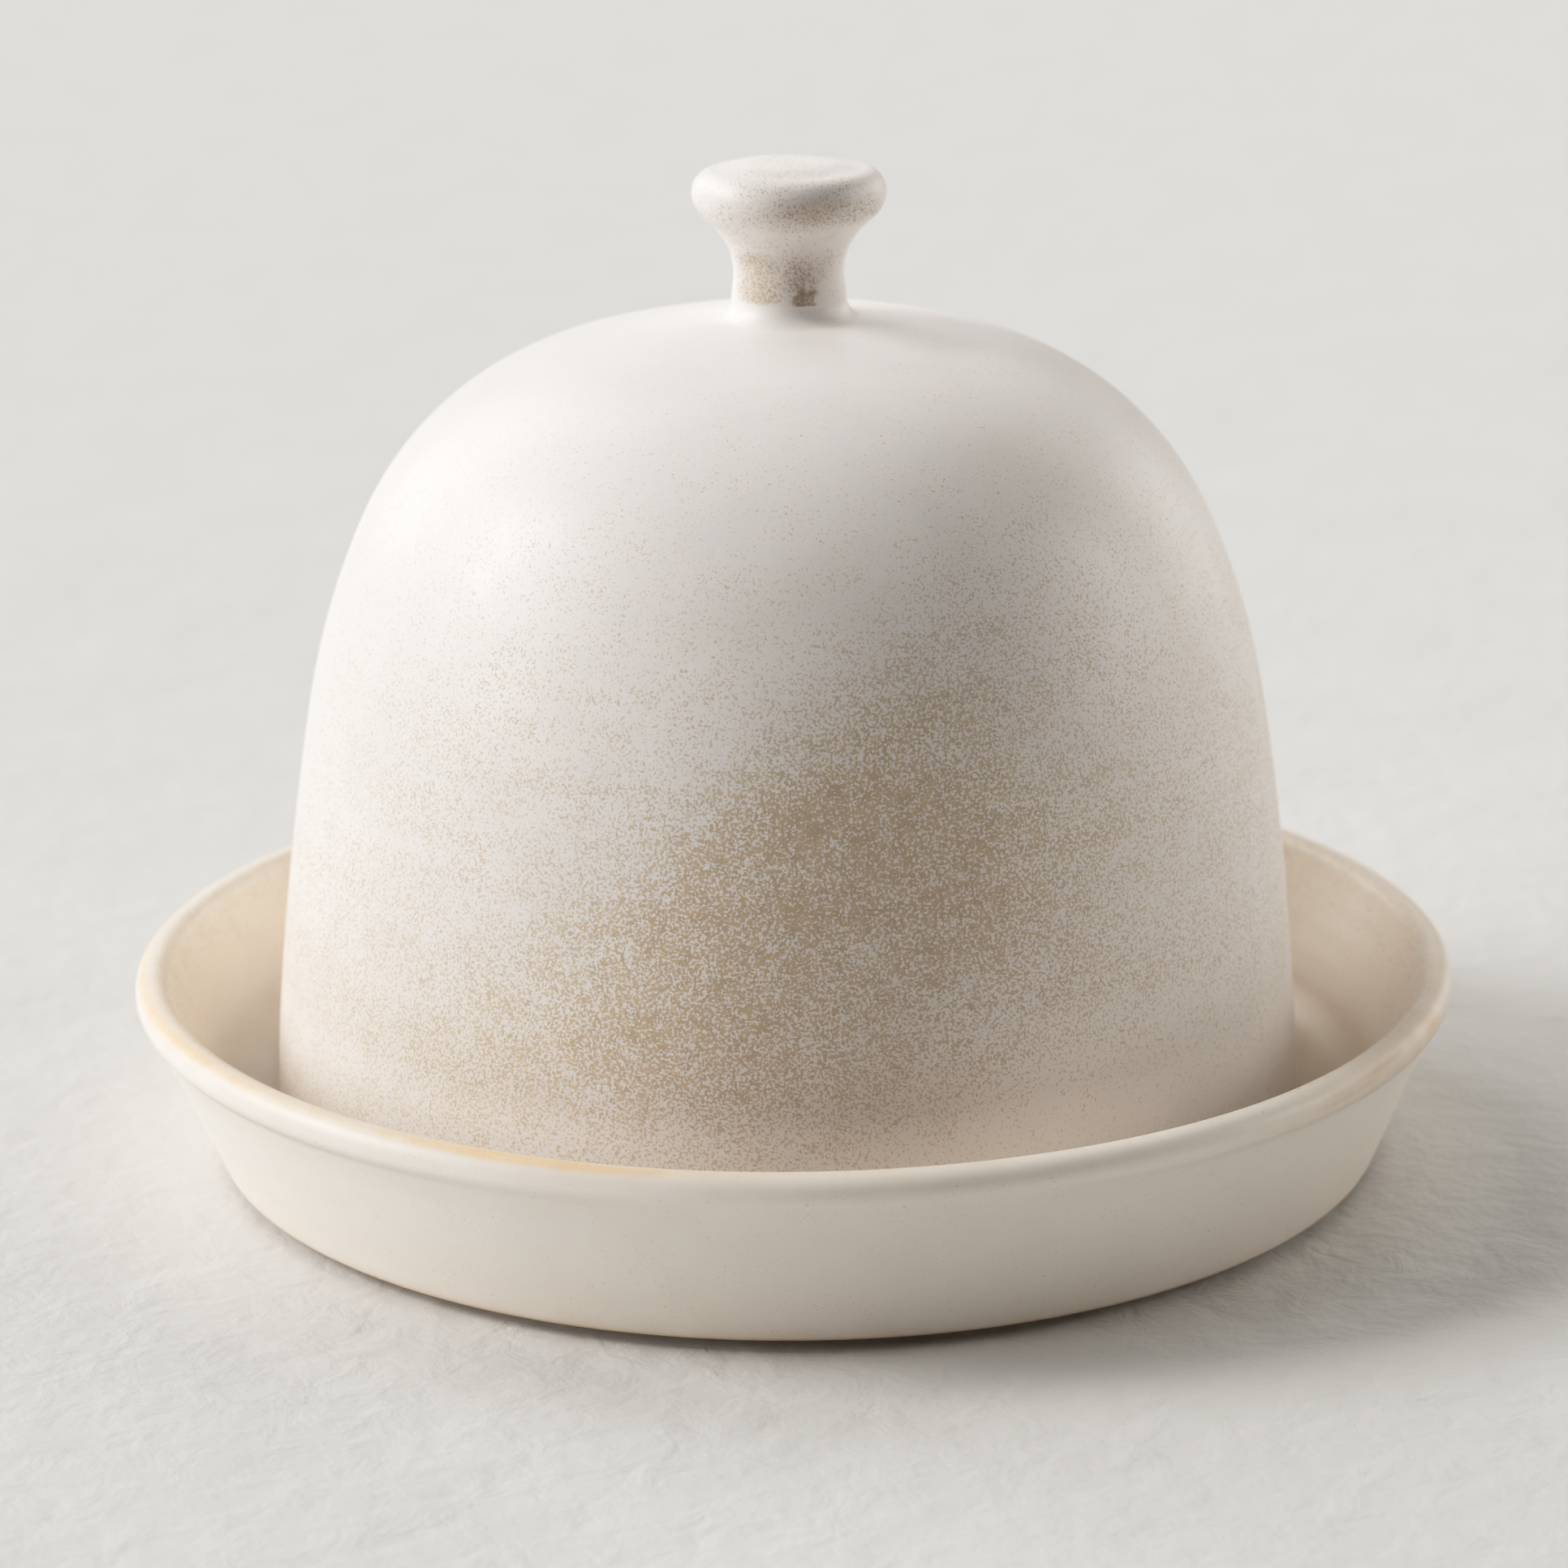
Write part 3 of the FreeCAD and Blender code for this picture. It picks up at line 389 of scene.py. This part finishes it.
def dome_paint(f):
    r, z, phi, s = f["r"], f["z"], f["phi"], f["s"]
    za = z + 5.7
    d1 = Drift(41, 4, 55.0)(phi, s)
    d2 = Drift(42, 12, 16.0)(phi, s)
    streak = Drift(43, 1, 9.0, 10)(phi, s)
    base = np.interp(za, [5, 12, 24, 32, 40, 56, 64, 72, 85, 95, 104, 115], [0.14, 0.14, 0.15, 0.21, 0.215, 0.185, 0.162, 0.130, 0.080, 0.052, 0.036, 0.026])
    base = base * (1 - 0.30 * bell(wrap(phi + 85), 0, 30) * smooth(za, 30, 62) + 0.22 * bell(wrap(phi + 62), 0, 32) * (1 - smooth(za, 30, 58))) * (1 + 0.07 * d1 + 0.05 * d2)
    wave = band(phi, za)
    far = 0.62 * band(wrap(phi + 158), za) + 0.35 * band(-wrap(phi - 128), za + 6)
    bare = base + wave * (1 + 0.06 * d2) + far * smooth(np.abs(wrap(phi)), 95, 120)
    # the last term is painted shade: extra body specks darken the upper right of the dome where it turns from the light
    bare = bare * (1 + 0.06 * streak * bell(za, 68, 20)) + 0.06 * bell(wrap(phi - 30), 0, 18) * bell(za, 80, 15)
    # a paler, smoother field at the lower right, where the glaze is even and warm
    calm = smooth(wrap(phi), -8, 38) * (1 - smooth(wrap(phi), 95, 120)) * (1 - smooth(za + 0.10 * wrap(phi), 24, 46))
    bare = bare * (1 - 0.62 * calm)
    bare = bare * (1 - 0.30 * (1 - smooth(za, 19, 31)) * (bell(wrap(phi), 0, 70) + 0.6 * bell(wrap(phi - 16), 0, 18) + 0.4 * bell(wrap(phi + 22), 0, 16)))
    # white slip round the foot of the knob
    slip = (1 - smooth(r, 9.5, 15.0)) * smooth(z, 95, 103)
    bare = bare * (1 - 0.8 * slip) + 0.01 * slip
    tag = f["tag"]
    clay = np.where(tag == "lip", 1.0 - smooth(z, 0.35, 1.1), 0.0)
    inner = np.where(tag == "inner", 1.0, 0.0)
    bare = np.where(tag == "inner", 0.10 + 0.03 * d1, bare)
    # where little body shows, it shows through glaze and is pale; in the drift it is nearly bare and deeper
    dark = 0.50 * np.clip(bare, 0, 1)
    deep = smooth(dark, 0.05, 0.33)
    share = np.clip(dark / (0.335 + 0.135 * deep), 0, 0.93)
    share = np.maximum(share, clay)
    ochre = np.clip(0.05 + 0.06 * d1 + 0.15 * bell(za, 10, 10) * (tag == "outer"), 0, 1)
    iron = np.zeros_like(z)
    return {"thin": logit(share), "ochre": ochre, "iron": iron, "inside": inner * 0.35, "clay": clay, "deep": deep, "stain": 0.055 * (tag == "outer") * bell(wrap(phi + 66), 0, 34) * (1 - smooth(za, 30, 62)), "blush": np.zeros_like(z)}


# ---------------------------------------------------------------- the knob
def meet(a, ra, b, rb):
    """Where two circles cross, on the axis side."""
    d = math.dist(a, b)
    k = (ra * ra - rb * rb + d * d) / (2 * d)
    h = math.sqrt(max(ra * ra - k * k, 0.0))
    ux, uz = (b[0] - a[0]) / d, (b[1] - a[1]) / d
    two = [(a[0] + k * ux - h * uz, a[1] + k * uz + h * ux), (a[0] + k * ux + h * uz, a[1] + k * uz - h * ux)]
    return min(two)


def along_ray(a, b, length):
    d = math.dist(a, b)
    return (a[0] + (b[0] - a[0]) * length / d, a[1] + (b[1] - a[1]) * length / d)


WAIST = (7.25, 2.15)
N_R, U_R, E_R, P_R = 8.9, 4.44, 3.41, 59.6
neck_n = (WAIST[1] / math.dist(WAIST, (PAD_R, 0.0)), (PAD_R - WAIST[0]) / math.dist(WAIST, (PAD_R, 0.0)))
N_C = (WAIST[0] + N_R * neck_n[0], WAIST[1] + N_R * neck_n[1])
P_C = (0.0, KNOB_H - P_R)
E_C = (KNOB_R - E_R, P_C[1] + math.sqrt((P_R - E_R) ** 2 - (KNOB_R - E_R) ** 2))
U_C = meet(N_C, N_R + U_R, E_C, U_R - E_R)
NJ, EJ, TJ = along_ray(N_C, U_C, N_R), along_ray(U_C, E_C, U_R), along_ray(P_C, E_C, P_R)
knob_chain, knob_tags = join(
    ("seat", line((0.0, 0.0), (7.45, 0.0), 1.2)),
    ("neck", line((7.45, 0.0), WAIST, 0.25)),
    ("neck", arc(N_C, N_R, ang(N_C, WAIST) % (2 * math.pi), ang(N_C, NJ) % (2 * math.pi), 0.25)),
    ("under", arc(U_C, U_R, ang(U_C, NJ), ang(U_C, EJ), 0.2)),
    ("edge", arc(E_C, E_R, ang(E_C, EJ), ang(E_C, TJ), 0.2)),
    ("top", arc(P_C, P_R, ang(P_C, TJ), math.pi / 2, 0.25)),
)
knob_chain[-1, 0] = 0.0
wob_knob = Drift(51, 3, 14.0)
ring_knob = Drift(52, 2, 12.0)


def knob_shape(f):
    r, z, phi, s = f["r"], f["z"], f["phi"], f["s"]
    on = smooth(z, 0.8, 3.5) * (f["tag"] != "seat") * smooth(r, 0.6, 3.0)
    rings = np.sin(2 * math.pi * (z + phi / 360.0 * 1.9) / 1.9 + 0.7 * ring_knob(phi, s)) * 0.012
    off = on * (0.045 * wob_knob(phi, s) - 0.05 + rings * (1 - smooth(z, 12, 15)))
    radial = r + off * f["nr"]
    up = np.clip(z + off * f["nz"] - 0.30 * bell(r, 9.4, 2.3) * smooth(z, 13.0, 15.2), 0.0, KNOB_H)
    x, y, up = placed(f, radial, up, dx=LID_DX + LEAN * (PAD_Z + z) + KNOB_DX)
    return x, y, up + SEAT_Z


def knob_paint(f):
    r, z, phi, s = f["r"], f["z"], f["phi"], f["s"]
    d1 = Drift(61, 4, 8.0)(phi, s)
    d2 = Drift(62, 9, 4.0)(phi, s)
    p = wrap(phi)
    cap = smooth(z, 9.5, 11.5)
    neck = 1 - smooth(z, 8.8, 11.0)
    bare = 0.045 + 0.02 * d1
    # small dark specks gather under the cap's edge, mostly to the left and front
    bare = bare + cap * 0.17 * bell(z, 12.2, 1.9) * (0.7 + 0.45 * bell(p + 20, 0, 45) + 0.25 * d1)
    bare = bare + cap * (0.055 + 0.04 * bell(p + 30, 0, 60)) * smooth(z, 13.5, 16.0)
    bare = bare + 0.06 * bell(z, 8.0, 2.5)
    # thin glaze low on the neck: a tan patch at the front left and darker specks beside it
    low = 1 - smooth(z, 5.0, 8.0)
    tan_patch = bell(p + 34, 0, 27) * low * smooth(z, -0.4, 0.8)
    grey = bell(p - 5, 0, 25) * bell(z, 3.7, 2.7)
    foot = (1 - smooth(np.abs(p - 18 + 3.5 * np.sin(2.6 * z) + 1.6 * z), 7.0, 15.0)) * (1 - smooth(z + 0.25 * d2 + 0.35 * np.sin(0.42 * p), 1.3, 3.0))
    round_back = (0.20 + 0.1 * d1) * bell(z, 4.0, 3.2) * neck * smooth(np.abs(p), 70, 110)
    bare = np.maximum.reduce([bare, 0.52 * tan_patch, 0.42 * grey, 0.85 * foot, round_back])
    bare = bare * (1 + 0.12 * d2)
    ochre = np.clip(0.5 * tan_patch, 0, 1)
    iron = np.clip(0.16 * cap * bell(z, 12.5, 2.5) + 0.36 * grey + 0.35 * foot + 0.15 * round_back, 0, 1)
    stain = 0.30 * tan_patch
    # painted shade: a brownish darkening with denser specks on the front right of the neck and in a band under the
    # front right of the cap's edge
    shade = bell(p - 24, 0, 34) * (0.75 + 0.25 * d1)
    bare = np.maximum(bare, 0.20 * shade * bell(z, 5.5, 3.6))
    under = bell(p - 14, 0, 26) * bell(z - 0.02 * p, 12.5, 1.9)
    bare = np.maximum(bare, 0.40 * under)
    blush = np.clip(0.50 * foot + 0.14 * tan_patch + 0.12 * grey + 0.30 * shade * bell(z, 5.0, 4.2) + 0.56 * under, 0, 1)
    zero = np.zeros_like(z)
    return {"thin": logit(bare), "ochre": ochre, "iron": iron, "inside": zero, "clay": zero, "deep": zero + 0.75, "stain": stain, "blush": blush}


# ---------------------------------------------------------------- node helpers
class Graph:
    def __init__(self, name):
        self.mat = bpy.data.materials.new(name)
        self.mat.use_nodes = True
        self.t = self.mat.node_tree
        self.t.nodes.clear()

    def put(self, node, key, value):
        if value is None:
            return
        if isinstance(value, bpy.types.NodeSocket):
            self.t.links.new(value, node.inputs[key])
        else:
            node.inputs[key].default_value = value

    def node(self, kind, **props):
        n = self.t.nodes.new(kind)
        for k, v in props.items():
            setattr(n, k, v)
        return n

    def math(self, op, a, b=None, c=None, clamp=False):
        n = self.node("ShaderNodeMath", operation=op, use_clamp=clamp)
        for i, v in enumerate((a, b, c)):
            self.put(n, i, v)
        return n.outputs[0]

    def vec(self, op, a, b=None):
        n = self.node("ShaderNodeVectorMath", operation=op)
        self.put(n, 0, a)
        self.put(n, 1, b)
        return n.outputs[1] if op in ("DISTANCE", "LENGTH", "DOT_PRODUCT") else n.outputs[0]

    def noise(self, p, scale, detail=2.0, rough=0.5, distort=0.0, colour=False):
        n = self.node("ShaderNodeTexNoise", noise_dimensions="3D")
        n.normalize = True
        self.put(n, "Vector", p)
        self.put(n, "Scale", scale)
        self.put(n, "Detail", detail)
        self.put(n, "Roughness", rough)
        self.put(n, "Distortion", distort)
        return n.outputs["Color"] if colour else n.outputs["Fac"]

    def attr(self, name):
        return self.node("ShaderNodeAttribute", attribute_name=name).outputs["Fac"]

    def step(self, v, lo, hi, out_lo=0.0, out_hi=1.0, kind="SMOOTHSTEP"):
        n = self.node("ShaderNodeMapRange", interpolation_type=kind)
        n.clamp = True
        self.put(n, "Value", v)
        self.put(n, "From Min", lo)
        self.put(n, "From Max", hi)
        self.put(n, "To Min", out_lo)
        self.put(n, "To Max", out_hi)
        return n.outputs[0]

    def mix(self, f, a, b, kind="MIX"):
        n = self.node("ShaderNodeMix", data_type="RGBA", blend_type=kind)
        self.put(n, 0, f)
        for i, v in ((6, a), (7, b)):
            self.put(n, i, v if isinstance(v, bpy.types.NodeSocket) else (*v, 1.0))
        return n.outputs[2]

    def bump(self, height, distance, strength=1.0, normal=None):
        n = self.node("ShaderNodeBump")
        self.put(n, "Height", height)
        self.put(n, "Distance", distance)
        self.put(n, "Strength", strength)
        if normal is not None:
            self.put(n, "Normal", normal)
        return n.outputs[0]

    def out(self, colour, rough, normal, ior_level=0.5):
        b = self.node("ShaderNodeBsdfPrincipled")
        self.put(b, "Base Color", colour)
        self.put(b, "Roughness", rough)
        self.put(b, "Specular IOR Level", ior_level)
        if normal is not None:
            self.put(b, "Normal", normal)
        o = self.node("ShaderNodeOutputMaterial")
        self.t.links.new(b.outputs[0], o.inputs[0])
        return self.mat


def glaze(name, white, pale, body, gold, rust, fine, warm_inside=None, speck_soft=0.07, show=0.10, spots=(), rough_glaze=0.42, spot_from=0.93):
    """A semi-opaque satin glaze over a speckled body. Where the glaze is thin the body shows through in fine branching specks."""
    g = Graph(name)
    P = g.node("ShaderNodeTexCoord").outputs["Object"]
    thin, ochre, iron, inside, clay, deep, stain, blush = (g.attr(k) for k in ("thin", "ochre", "iron", "inside", "clay", "deep", "stain", "blush"))
    patch = g.noise(P, 210.0, 2.0, 0.55)
    cloud = g.noise(P, 38.0, 2.0, 0.5)
    lines = g.noise(g.vec("MULTIPLY", P, (30.0, 30.0, 420.0)), 1.0, 2.0, 0.5)
    grain = g.noise(P, fine, 2.0, 0.55, 0.35)
    # threshold of the speck noise, in its own units: spread about 0.11 round 0.5
    q = g.math("MULTIPLY_ADD", g.math("SUBTRACT", patch, 0.5), 1.5, thin)
    # the thrower's lines show in the glaze most of all on the dome's shoulder
    level = g.node("ShaderNodeSeparateXYZ")
    g.put(level, 0, P)
    line_w = g.math("MULTIPLY", g.step(level.outputs[2], 0.045, 0.064, 0.5, 1.25), g.step(level.outputs[2], 0.082, 0.100, 1.0, 0.5))
    q = g.math("MULTIPLY_ADD", g.math("SUBTRACT", lines, 0.5), line_w, q)
    th = g.math("MULTIPLY_ADD", q, 0.105, 0.5)
    speck = g.step(grain, g.math("SUBTRACT", th, speck_soft), g.math("ADD", th, speck_soft), 1.0, 0.0)
    # the glaze itself: slightly uneven in tone, and it lets some body colour through where it is thin
    tone = g.noise(P, 95.0, 3.0, 0.6)
    base = g.mix(g.step(cloud, 0.3, 0.7), white, tuple(c * k for c, k in zip(white, (0.975, 0.965, 0.955))))
    if warm_inside is not None:
        base = g.mix(inside, base, warm_inside)
    base = g.mix(g.math("MULTIPLY", g.step(tone, 0.35, 0.75), 0.10), base, (0.62, 0.60, 0.59))
    seen = g.math("MULTIPLY", g.step(thin, -1.6, 1.2), show)
    base = g.mix(seen, base, body)
    base = g.mix(g.math("MULTIPLY", stain, g.step(patch, 0.25, 0.6, 0.75, 1.0)), base, gold)
    # this pinkish-brown darkening is partly the clay's own warmth and partly painted shade: in the dish's crease, over
    # the top of its roll, low on its wall, and on the knob's neck and under its cap
    base = g.mix(g.math("MULTIPLY", blush, g.step(patch, 0.25, 0.6, 0.7, 1.0)), base, (0.50, 0.36, 0.25))
    # the body: tan, golden where iron-rich slip breaks through, and brown where it pools
    hue = g.noise(P, 640.0, 1.0, 0.5)
    tan_deep = g.mix(g.step(hue, 0.3, 0.7), tuple(c * 0.93 for c in body), tuple(min(1.0, c * 1.06) for c in body))
    tan_pale = g.mix(g.step(hue, 0.3, 0.7), tuple(c * 0.95 for c in pale), tuple(min(1.0, c * 1.04) for c in pale))
    tan_var = g.mix(deep, tan_pale, tan_deep)
    gold_var = g.mix(g.step(hue, 0.3, 0.7), tuple(c * 0.9 for c in gold), tuple(min(1.0, c * 1.08) for c in gold))
    under = g.mix(ochre, tan_var, gold_var)
    under = g.mix(iron, under, rust)
    raw = g.mix(g.step(g.noise(P, 900.0, 2.0, 0.6), 0.35, 0.7), (0.50, 0.38, 0.27), (0.62, 0.50, 0.37))
    under = g.mix(clay, under, raw)
    colour = g.mix(speck, base, under)
    # golden-brown iron stain in the dish's fold, darker on the floor and lighter along the fold line as painted shade
    colour = g.mix(g.math("MULTIPLY", g.attr("honey"), g.step(patch, 0.25, 0.6, 0.9, 1.0)), colour, (0.48, 0.34, 0.15))
    # few, small iron spots
    v = g.node("ShaderNodeTexVoronoi", feature="F1", distance="EUCLIDEAN")
    wob = g.vec("ADD", P, g.vec("MULTIPLY", g.vec("SUBTRACT", g.noise(P, 2200.0, 1.0, 0.5, colour=True), (0.5, 0.5, 0.5)), (0.0007, 0.0007, 0.0007)))
    g.put(v, "Vector", wob)
    g.put(v, "Scale", 105.0)
    g.put(v, "Randomness", 1.0)
    pick = g.node("ShaderNodeSeparateColor")
    g.put(pick, 0, v.outputs["Color"])
    size = g.step(pick.outputs[0], spot_from - 0.03, 1.0, 0.0, 0.030, "LINEAR")
    spot = g.step(v.outputs["Distance"], g.math("MULTIPLY", size, 0.6), size, 1.0, 0.0, "LINEAR")
    spot = g.math("MULTIPLY", spot, g.math("GREATER_THAN", pick.outputs[0], spot_from))
    dark = g.mix(g.step(pick.outputs[1], 0.0, 1.0), (0.30, 0.20, 0.12), (0.45, 0.36, 0.27))
    colour = g.mix(g.math("MULTIPLY", spot, 0.55), colour, dark)
    for (x, y, z), rad, tint, amount in spots:
        near = g.vec("DISTANCE", wob, (x * MM, y * MM, z * MM))
        m = g.math("MULTIPLY", g.step(near, rad * 0.45 * MM, rad * MM, 1.0, 0.0), amount)
        colour = g.mix(m, colour, tint)
    # surface: silky, a little drier where the body breaks through, with a fine skin
    peel = g.noise(P, 760.0, 2.0, 0.5)
    broad = g.noise(P, 120.0, 2.0, 0.5)
    rough = g.math("MULTIPLY_ADD", speck, 0.13, rough_glaze)
    rough = g.math("MULTIPLY_ADD", g.math("SUBTRACT", broad, 0.5), 0.22, rough)
    rough = g.math("MULTIPLY_ADD", clay, 0.35, rough, clamp=True)
    height = g.math("MULTIPLY_ADD", speck, -0.35, peel)
    n1 = g.bump(height, 0.000022, 1.0)
    n2 = g.bump(broad, 0.00012, 0.6, n1)
    return g.out(colour, rough, n2, 0.45)


# colours are linear
LID_WHITE = (0.862, 0.817, 0.788)
PALE_TAN = (0.650, 0.540, 0.435)
BODY_TAN = (0.568, 0.435, 0.298)
GOLD = (0.70, 0.53, 0.32)
RUST = (0.20, 0.125, 0.07)
lid_glaze = glaze("lid_glaze_satin", LID_WHITE, PALE_TAN, BODY_TAN, GOLD, RUST, 2800.0, warm_inside=(0.76, 0.69, 0.60), show=0.06,
                  spots=[((-40.0, -44.5, 86.0), 0.42, (0.22, 0.15, 0.10), 0.9)])
knob_glaze = glaze("knob_glaze_satin", LID_WHITE, PALE_TAN, (0.38, 0.30, 0.22), (0.55, 0.42, 0.27), RUST, 3900.0, speck_soft=0.05)
dish_glaze = glaze("dish_glaze_satin", (0.870, 0.812, 0.735), (0.70, 0.60, 0.48), (0.57, 0.45, 0.31), (0.82, 0.55, 0.31), (0.24, 0.16, 0.09), 2900.0,
                   warm_inside=(0.85, 0.755, 0.645), show=0.10, rough_glaze=0.44,
                   spots=[((41.8, -75.4, 21.4), 0.36, (0.30, 0.26, 0.22), 0.75), ((46.4, -72.6, 21.4), 0.30, (0.30, 0.26, 0.22), 0.6)])

# ---------------------------------------------------------------- the pieces
dish = turned("dish_thrown", dish_chain, dish_tags, 320, dish_shape, dish_paint)
dome = turned("dome_thrown", dome_chain, dome_tags, 320, dome_shape, dome_paint, sharp=[(PAD_R, PAD_Z)])
knob = turned("knob_thrown", knob_chain, knob_tags, 240, knob_shape, knob_paint, sharp=[(7.45, 0.0)])
for ob, mat, body, node, slot in ((dish, dish_glaze, "dish", "dish", "dish_glaze"), (dome, lid_glaze, "lid", "dome", "lid_glaze"), (knob, knob_glaze, "lid", "knob", "lid_glaze")):
    ob.data.materials.append(mat)
    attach(ob, body)
    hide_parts(node)


# ---------------------------------------------------------------- the stage
def plaster():
    g = Graph("plaster_floor")
    P = g.node("ShaderNodeTexCoord").outputs["Object"]
    a = g.noise(P, 150.0, 4.0, 0.55, 0.4)
    b = g.noise(P, 34.0, 3.0, 0.5)
    c = g.noise(P, 620.0, 2.0, 0.5)
    colour = g.mix(g.step(b, 0.3, 0.7), (0.647, 0.636, 0.617), (0.665, 0.655, 0.636))
    colour = g.mix(g.math("MULTIPLY", g.step(a, 0.35, 0.7), 0.12), colour, (0.617, 0.606, 0.587))
    n = g.bump(a, 0.00095, 0.58)
    n = g.bump(b, 0.0022, 0.42, n)
    n = g.bump(c, 0.00012, 0.5, n)
    return g.out(colour, 0.72, n, 0.25)


PLASTER = plaster()


def stage_ring(name, chain, segments=128):
    verts, faces = [], []
    rings = []
    for r, z in chain:
        if r < 1e-6:
            rings.append([len(verts)])
            verts.append((0.0, 0.0, z))
        else:
            rings.append(list(range(len(verts), len(verts) + segments)))
            for i in range(segments):
                a = 2 * math.pi * i / segments
                verts.append((r * math.cos(a), r * math.sin(a), z))
    for a, b in zip(rings, rings[1:]):
        for i in range(segments):
            j = (i + 1) % segments
            if len(a) == 1:
                faces.append((a[0], b[i], b[j]))
            else:
                faces.append((a[i], b[i], b[j], a[j]))
    m = bpy.data.meshes.new(name)
    m.from_pydata(verts, [], faces)
    m.polygons.foreach_set("use_smooth", np.ones(len(m.polygons), bool))
    m.materials.append(PLASTER)
    o = bpy.data.objects.new(name, m)
    bpy.context.scene.collection.objects.link(o)
    return o


stage_ring("floor", [(0.0, 0.0), (0.3, 0.0), (0.8, 0.0), (1.6, 0.0)])
sweep = [(1.6 + 0.9 * math.sin(a), 0.9 * (1 - math.cos(a))) for a in np.linspace(0, math.pi / 2, 25)] + [(2.5, 2.6)]
wall = stage_ring("backdrop", sweep)
for flag in ("visible_diffuse", "visible_glossy", "visible_transmission", "visible_volume_scatter", "visible_shadow"):
    setattr(wall, flag, False)


# ---------------------------------------------------------------- light
def sun(name, azimuth, elevation, strength, spread, colour=(1, 1, 1)):
    """Azimuth is where the light stands: 0 behind the camera (-Y), 90 to the right (+X)."""
    l = bpy.data.lights.new(name, "SUN")
    l.energy = strength
    l.angle = math.radians(spread)
    l.color = colour
    o = bpy.data.objects.new(name, l)
    a, e = math.radians(azimuth), math.radians(elevation)
    d = Vector((math.sin(a) * math.cos(e), -math.cos(a) * math.cos(e), math.sin(e)))
    o.rotation_mode = "QUATERNION"
    o.rotation_quaternion = d.to_track_quat("Z", "Y")
    o.location = d * 2.0
    bpy.context.scene.collection.objects.link(o)
    return o


DAY = (1.0, 0.985, 0.965)
WARM = (1.0, 0.965, 0.905)
LIGHTS = [
    ("key_window", -92.0, 33.0, 3.05, 26.0, DAY),
    ("left_low", -75.0, 16.0, 0.90, 18.0, DAY),
    ("left_back_high", -138.0, 38.0, 1.20, 34.0, DAY),
    ("left_back_low", -135.0, 14.0, 0.38, 18.0, DAY),
    ("right_card", 97.0, 15.0, 0.66, 26.0, WARM),
    ("right_card_high", 92.0, 30.0, 0.36, 24.0, WARM),
    ("right_back_low", 135.0, 10.0, 0.50, 24.0, WARM),
    ("right_back", 143.0, 36.0, 0.62, 46.0, WARM),
    ("back", 180.0, 20.0, 0.27, 30.0, DAY),
    ("top_back", 180.0, 75.0, 0.26, 30.0, DAY),
]
for spec in LIGHTS:
    sun(*spec)
# a low white card in front returns light to the dish's outside, which leans towards the table
card = sun("dish_card", -22.0, 3.0, 0.36, 40.0, DAY)
lit = bpy.data.collections.new("dish_only")
lit.objects.link(dish)
card.light_linking.receiver_collection = lit
WORLD = (0.03, 0.03, 0.03)
world = bpy.data.worlds.new("studio")
world.use_nodes = True
bg = world.node_tree.nodes.get("Background") or world.node_tree.nodes.new("ShaderNodeBackground")
bg.inputs[0].default_value = (*WORLD, 1.0)
bg.inputs[1].default_value = 1.0
bpy.context.scene.world = world

# ---------------------------------------------------------------- camera
cam_data = bpy.data.cameras.new("camera")
cam = bpy.data.objects.new("camera", cam_data)
bpy.context.scene.collection.objects.link(cam)
th, ro = math.radians(16.697), math.radians(-0.541)
dist, aim_x, aim_z = 0.6484765, -0.0010944, 0.0485638
forward = Vector((0, math.cos(th), -math.sin(th)))
right, up = Vector((1, 0, 0)), Vector((0, math.sin(th), math.cos(th)))
r2 = math.cos(ro) * right + math.sin(ro) * up
u2 = -math.sin(ro) * right + math.cos(ro) * up
m = Matrix.Identity(4)
for i in range(3):
    m[i][0], m[i][1], m[i][2] = r2[i], u2[i], -forward[i]
m[0][3], m[1][3], m[2][3] = aim_x, -dist * math.cos(th), aim_z + dist * math.sin(th)
cam.matrix_world = m
cam_data.sensor_width = 36.0
cam_data.lens = 6000.0 * 36.0 / 1932.0
cam_data.clip_start, cam_data.clip_end = 0.05, 20.0
focus = bpy.data.objects.new("focus", None)
bpy.context.scene.collection.objects.link(focus)
focus.location = (0.0, -0.062, 0.045)
cam_data.dof.use_dof = True
cam_data.dof.focus_object = focus
cam_data.dof.aperture_fstop = 22.0
bpy.context.scene.camera = cam

scene = bpy.context.scene
scene.view_settings.view_transform = "Standard"
scene.view_settings.look = "None"
scene.view_settings.exposure = 0.0
scene.view_settings.gamma = 1.0
# a gentle shoulder for the highlights, so that white glaze in the window light keeps its modelling
scene.view_settings.use_curve_mapping = True
tone = scene.view_settings.curve_mapping
tone.white_level = (2.0, 2.0, 2.0)
shoulder = tone.curves[3]
for x in [0.1 * i for i in range(1, 20)]:
    shoulder.points.new(x / 2.0, x if x <= 0.4 else 0.4 + 0.8 * (1 - math.exp(-(x - 0.4) / 0.8)))
shoulder.points[-1].location = (1.0, 0.4 + 0.8 * (1 - math.exp(-1.6 / 0.8)))
for pt in shoulder.points:
    pt.handle_type = "VECTOR"
tone.update()
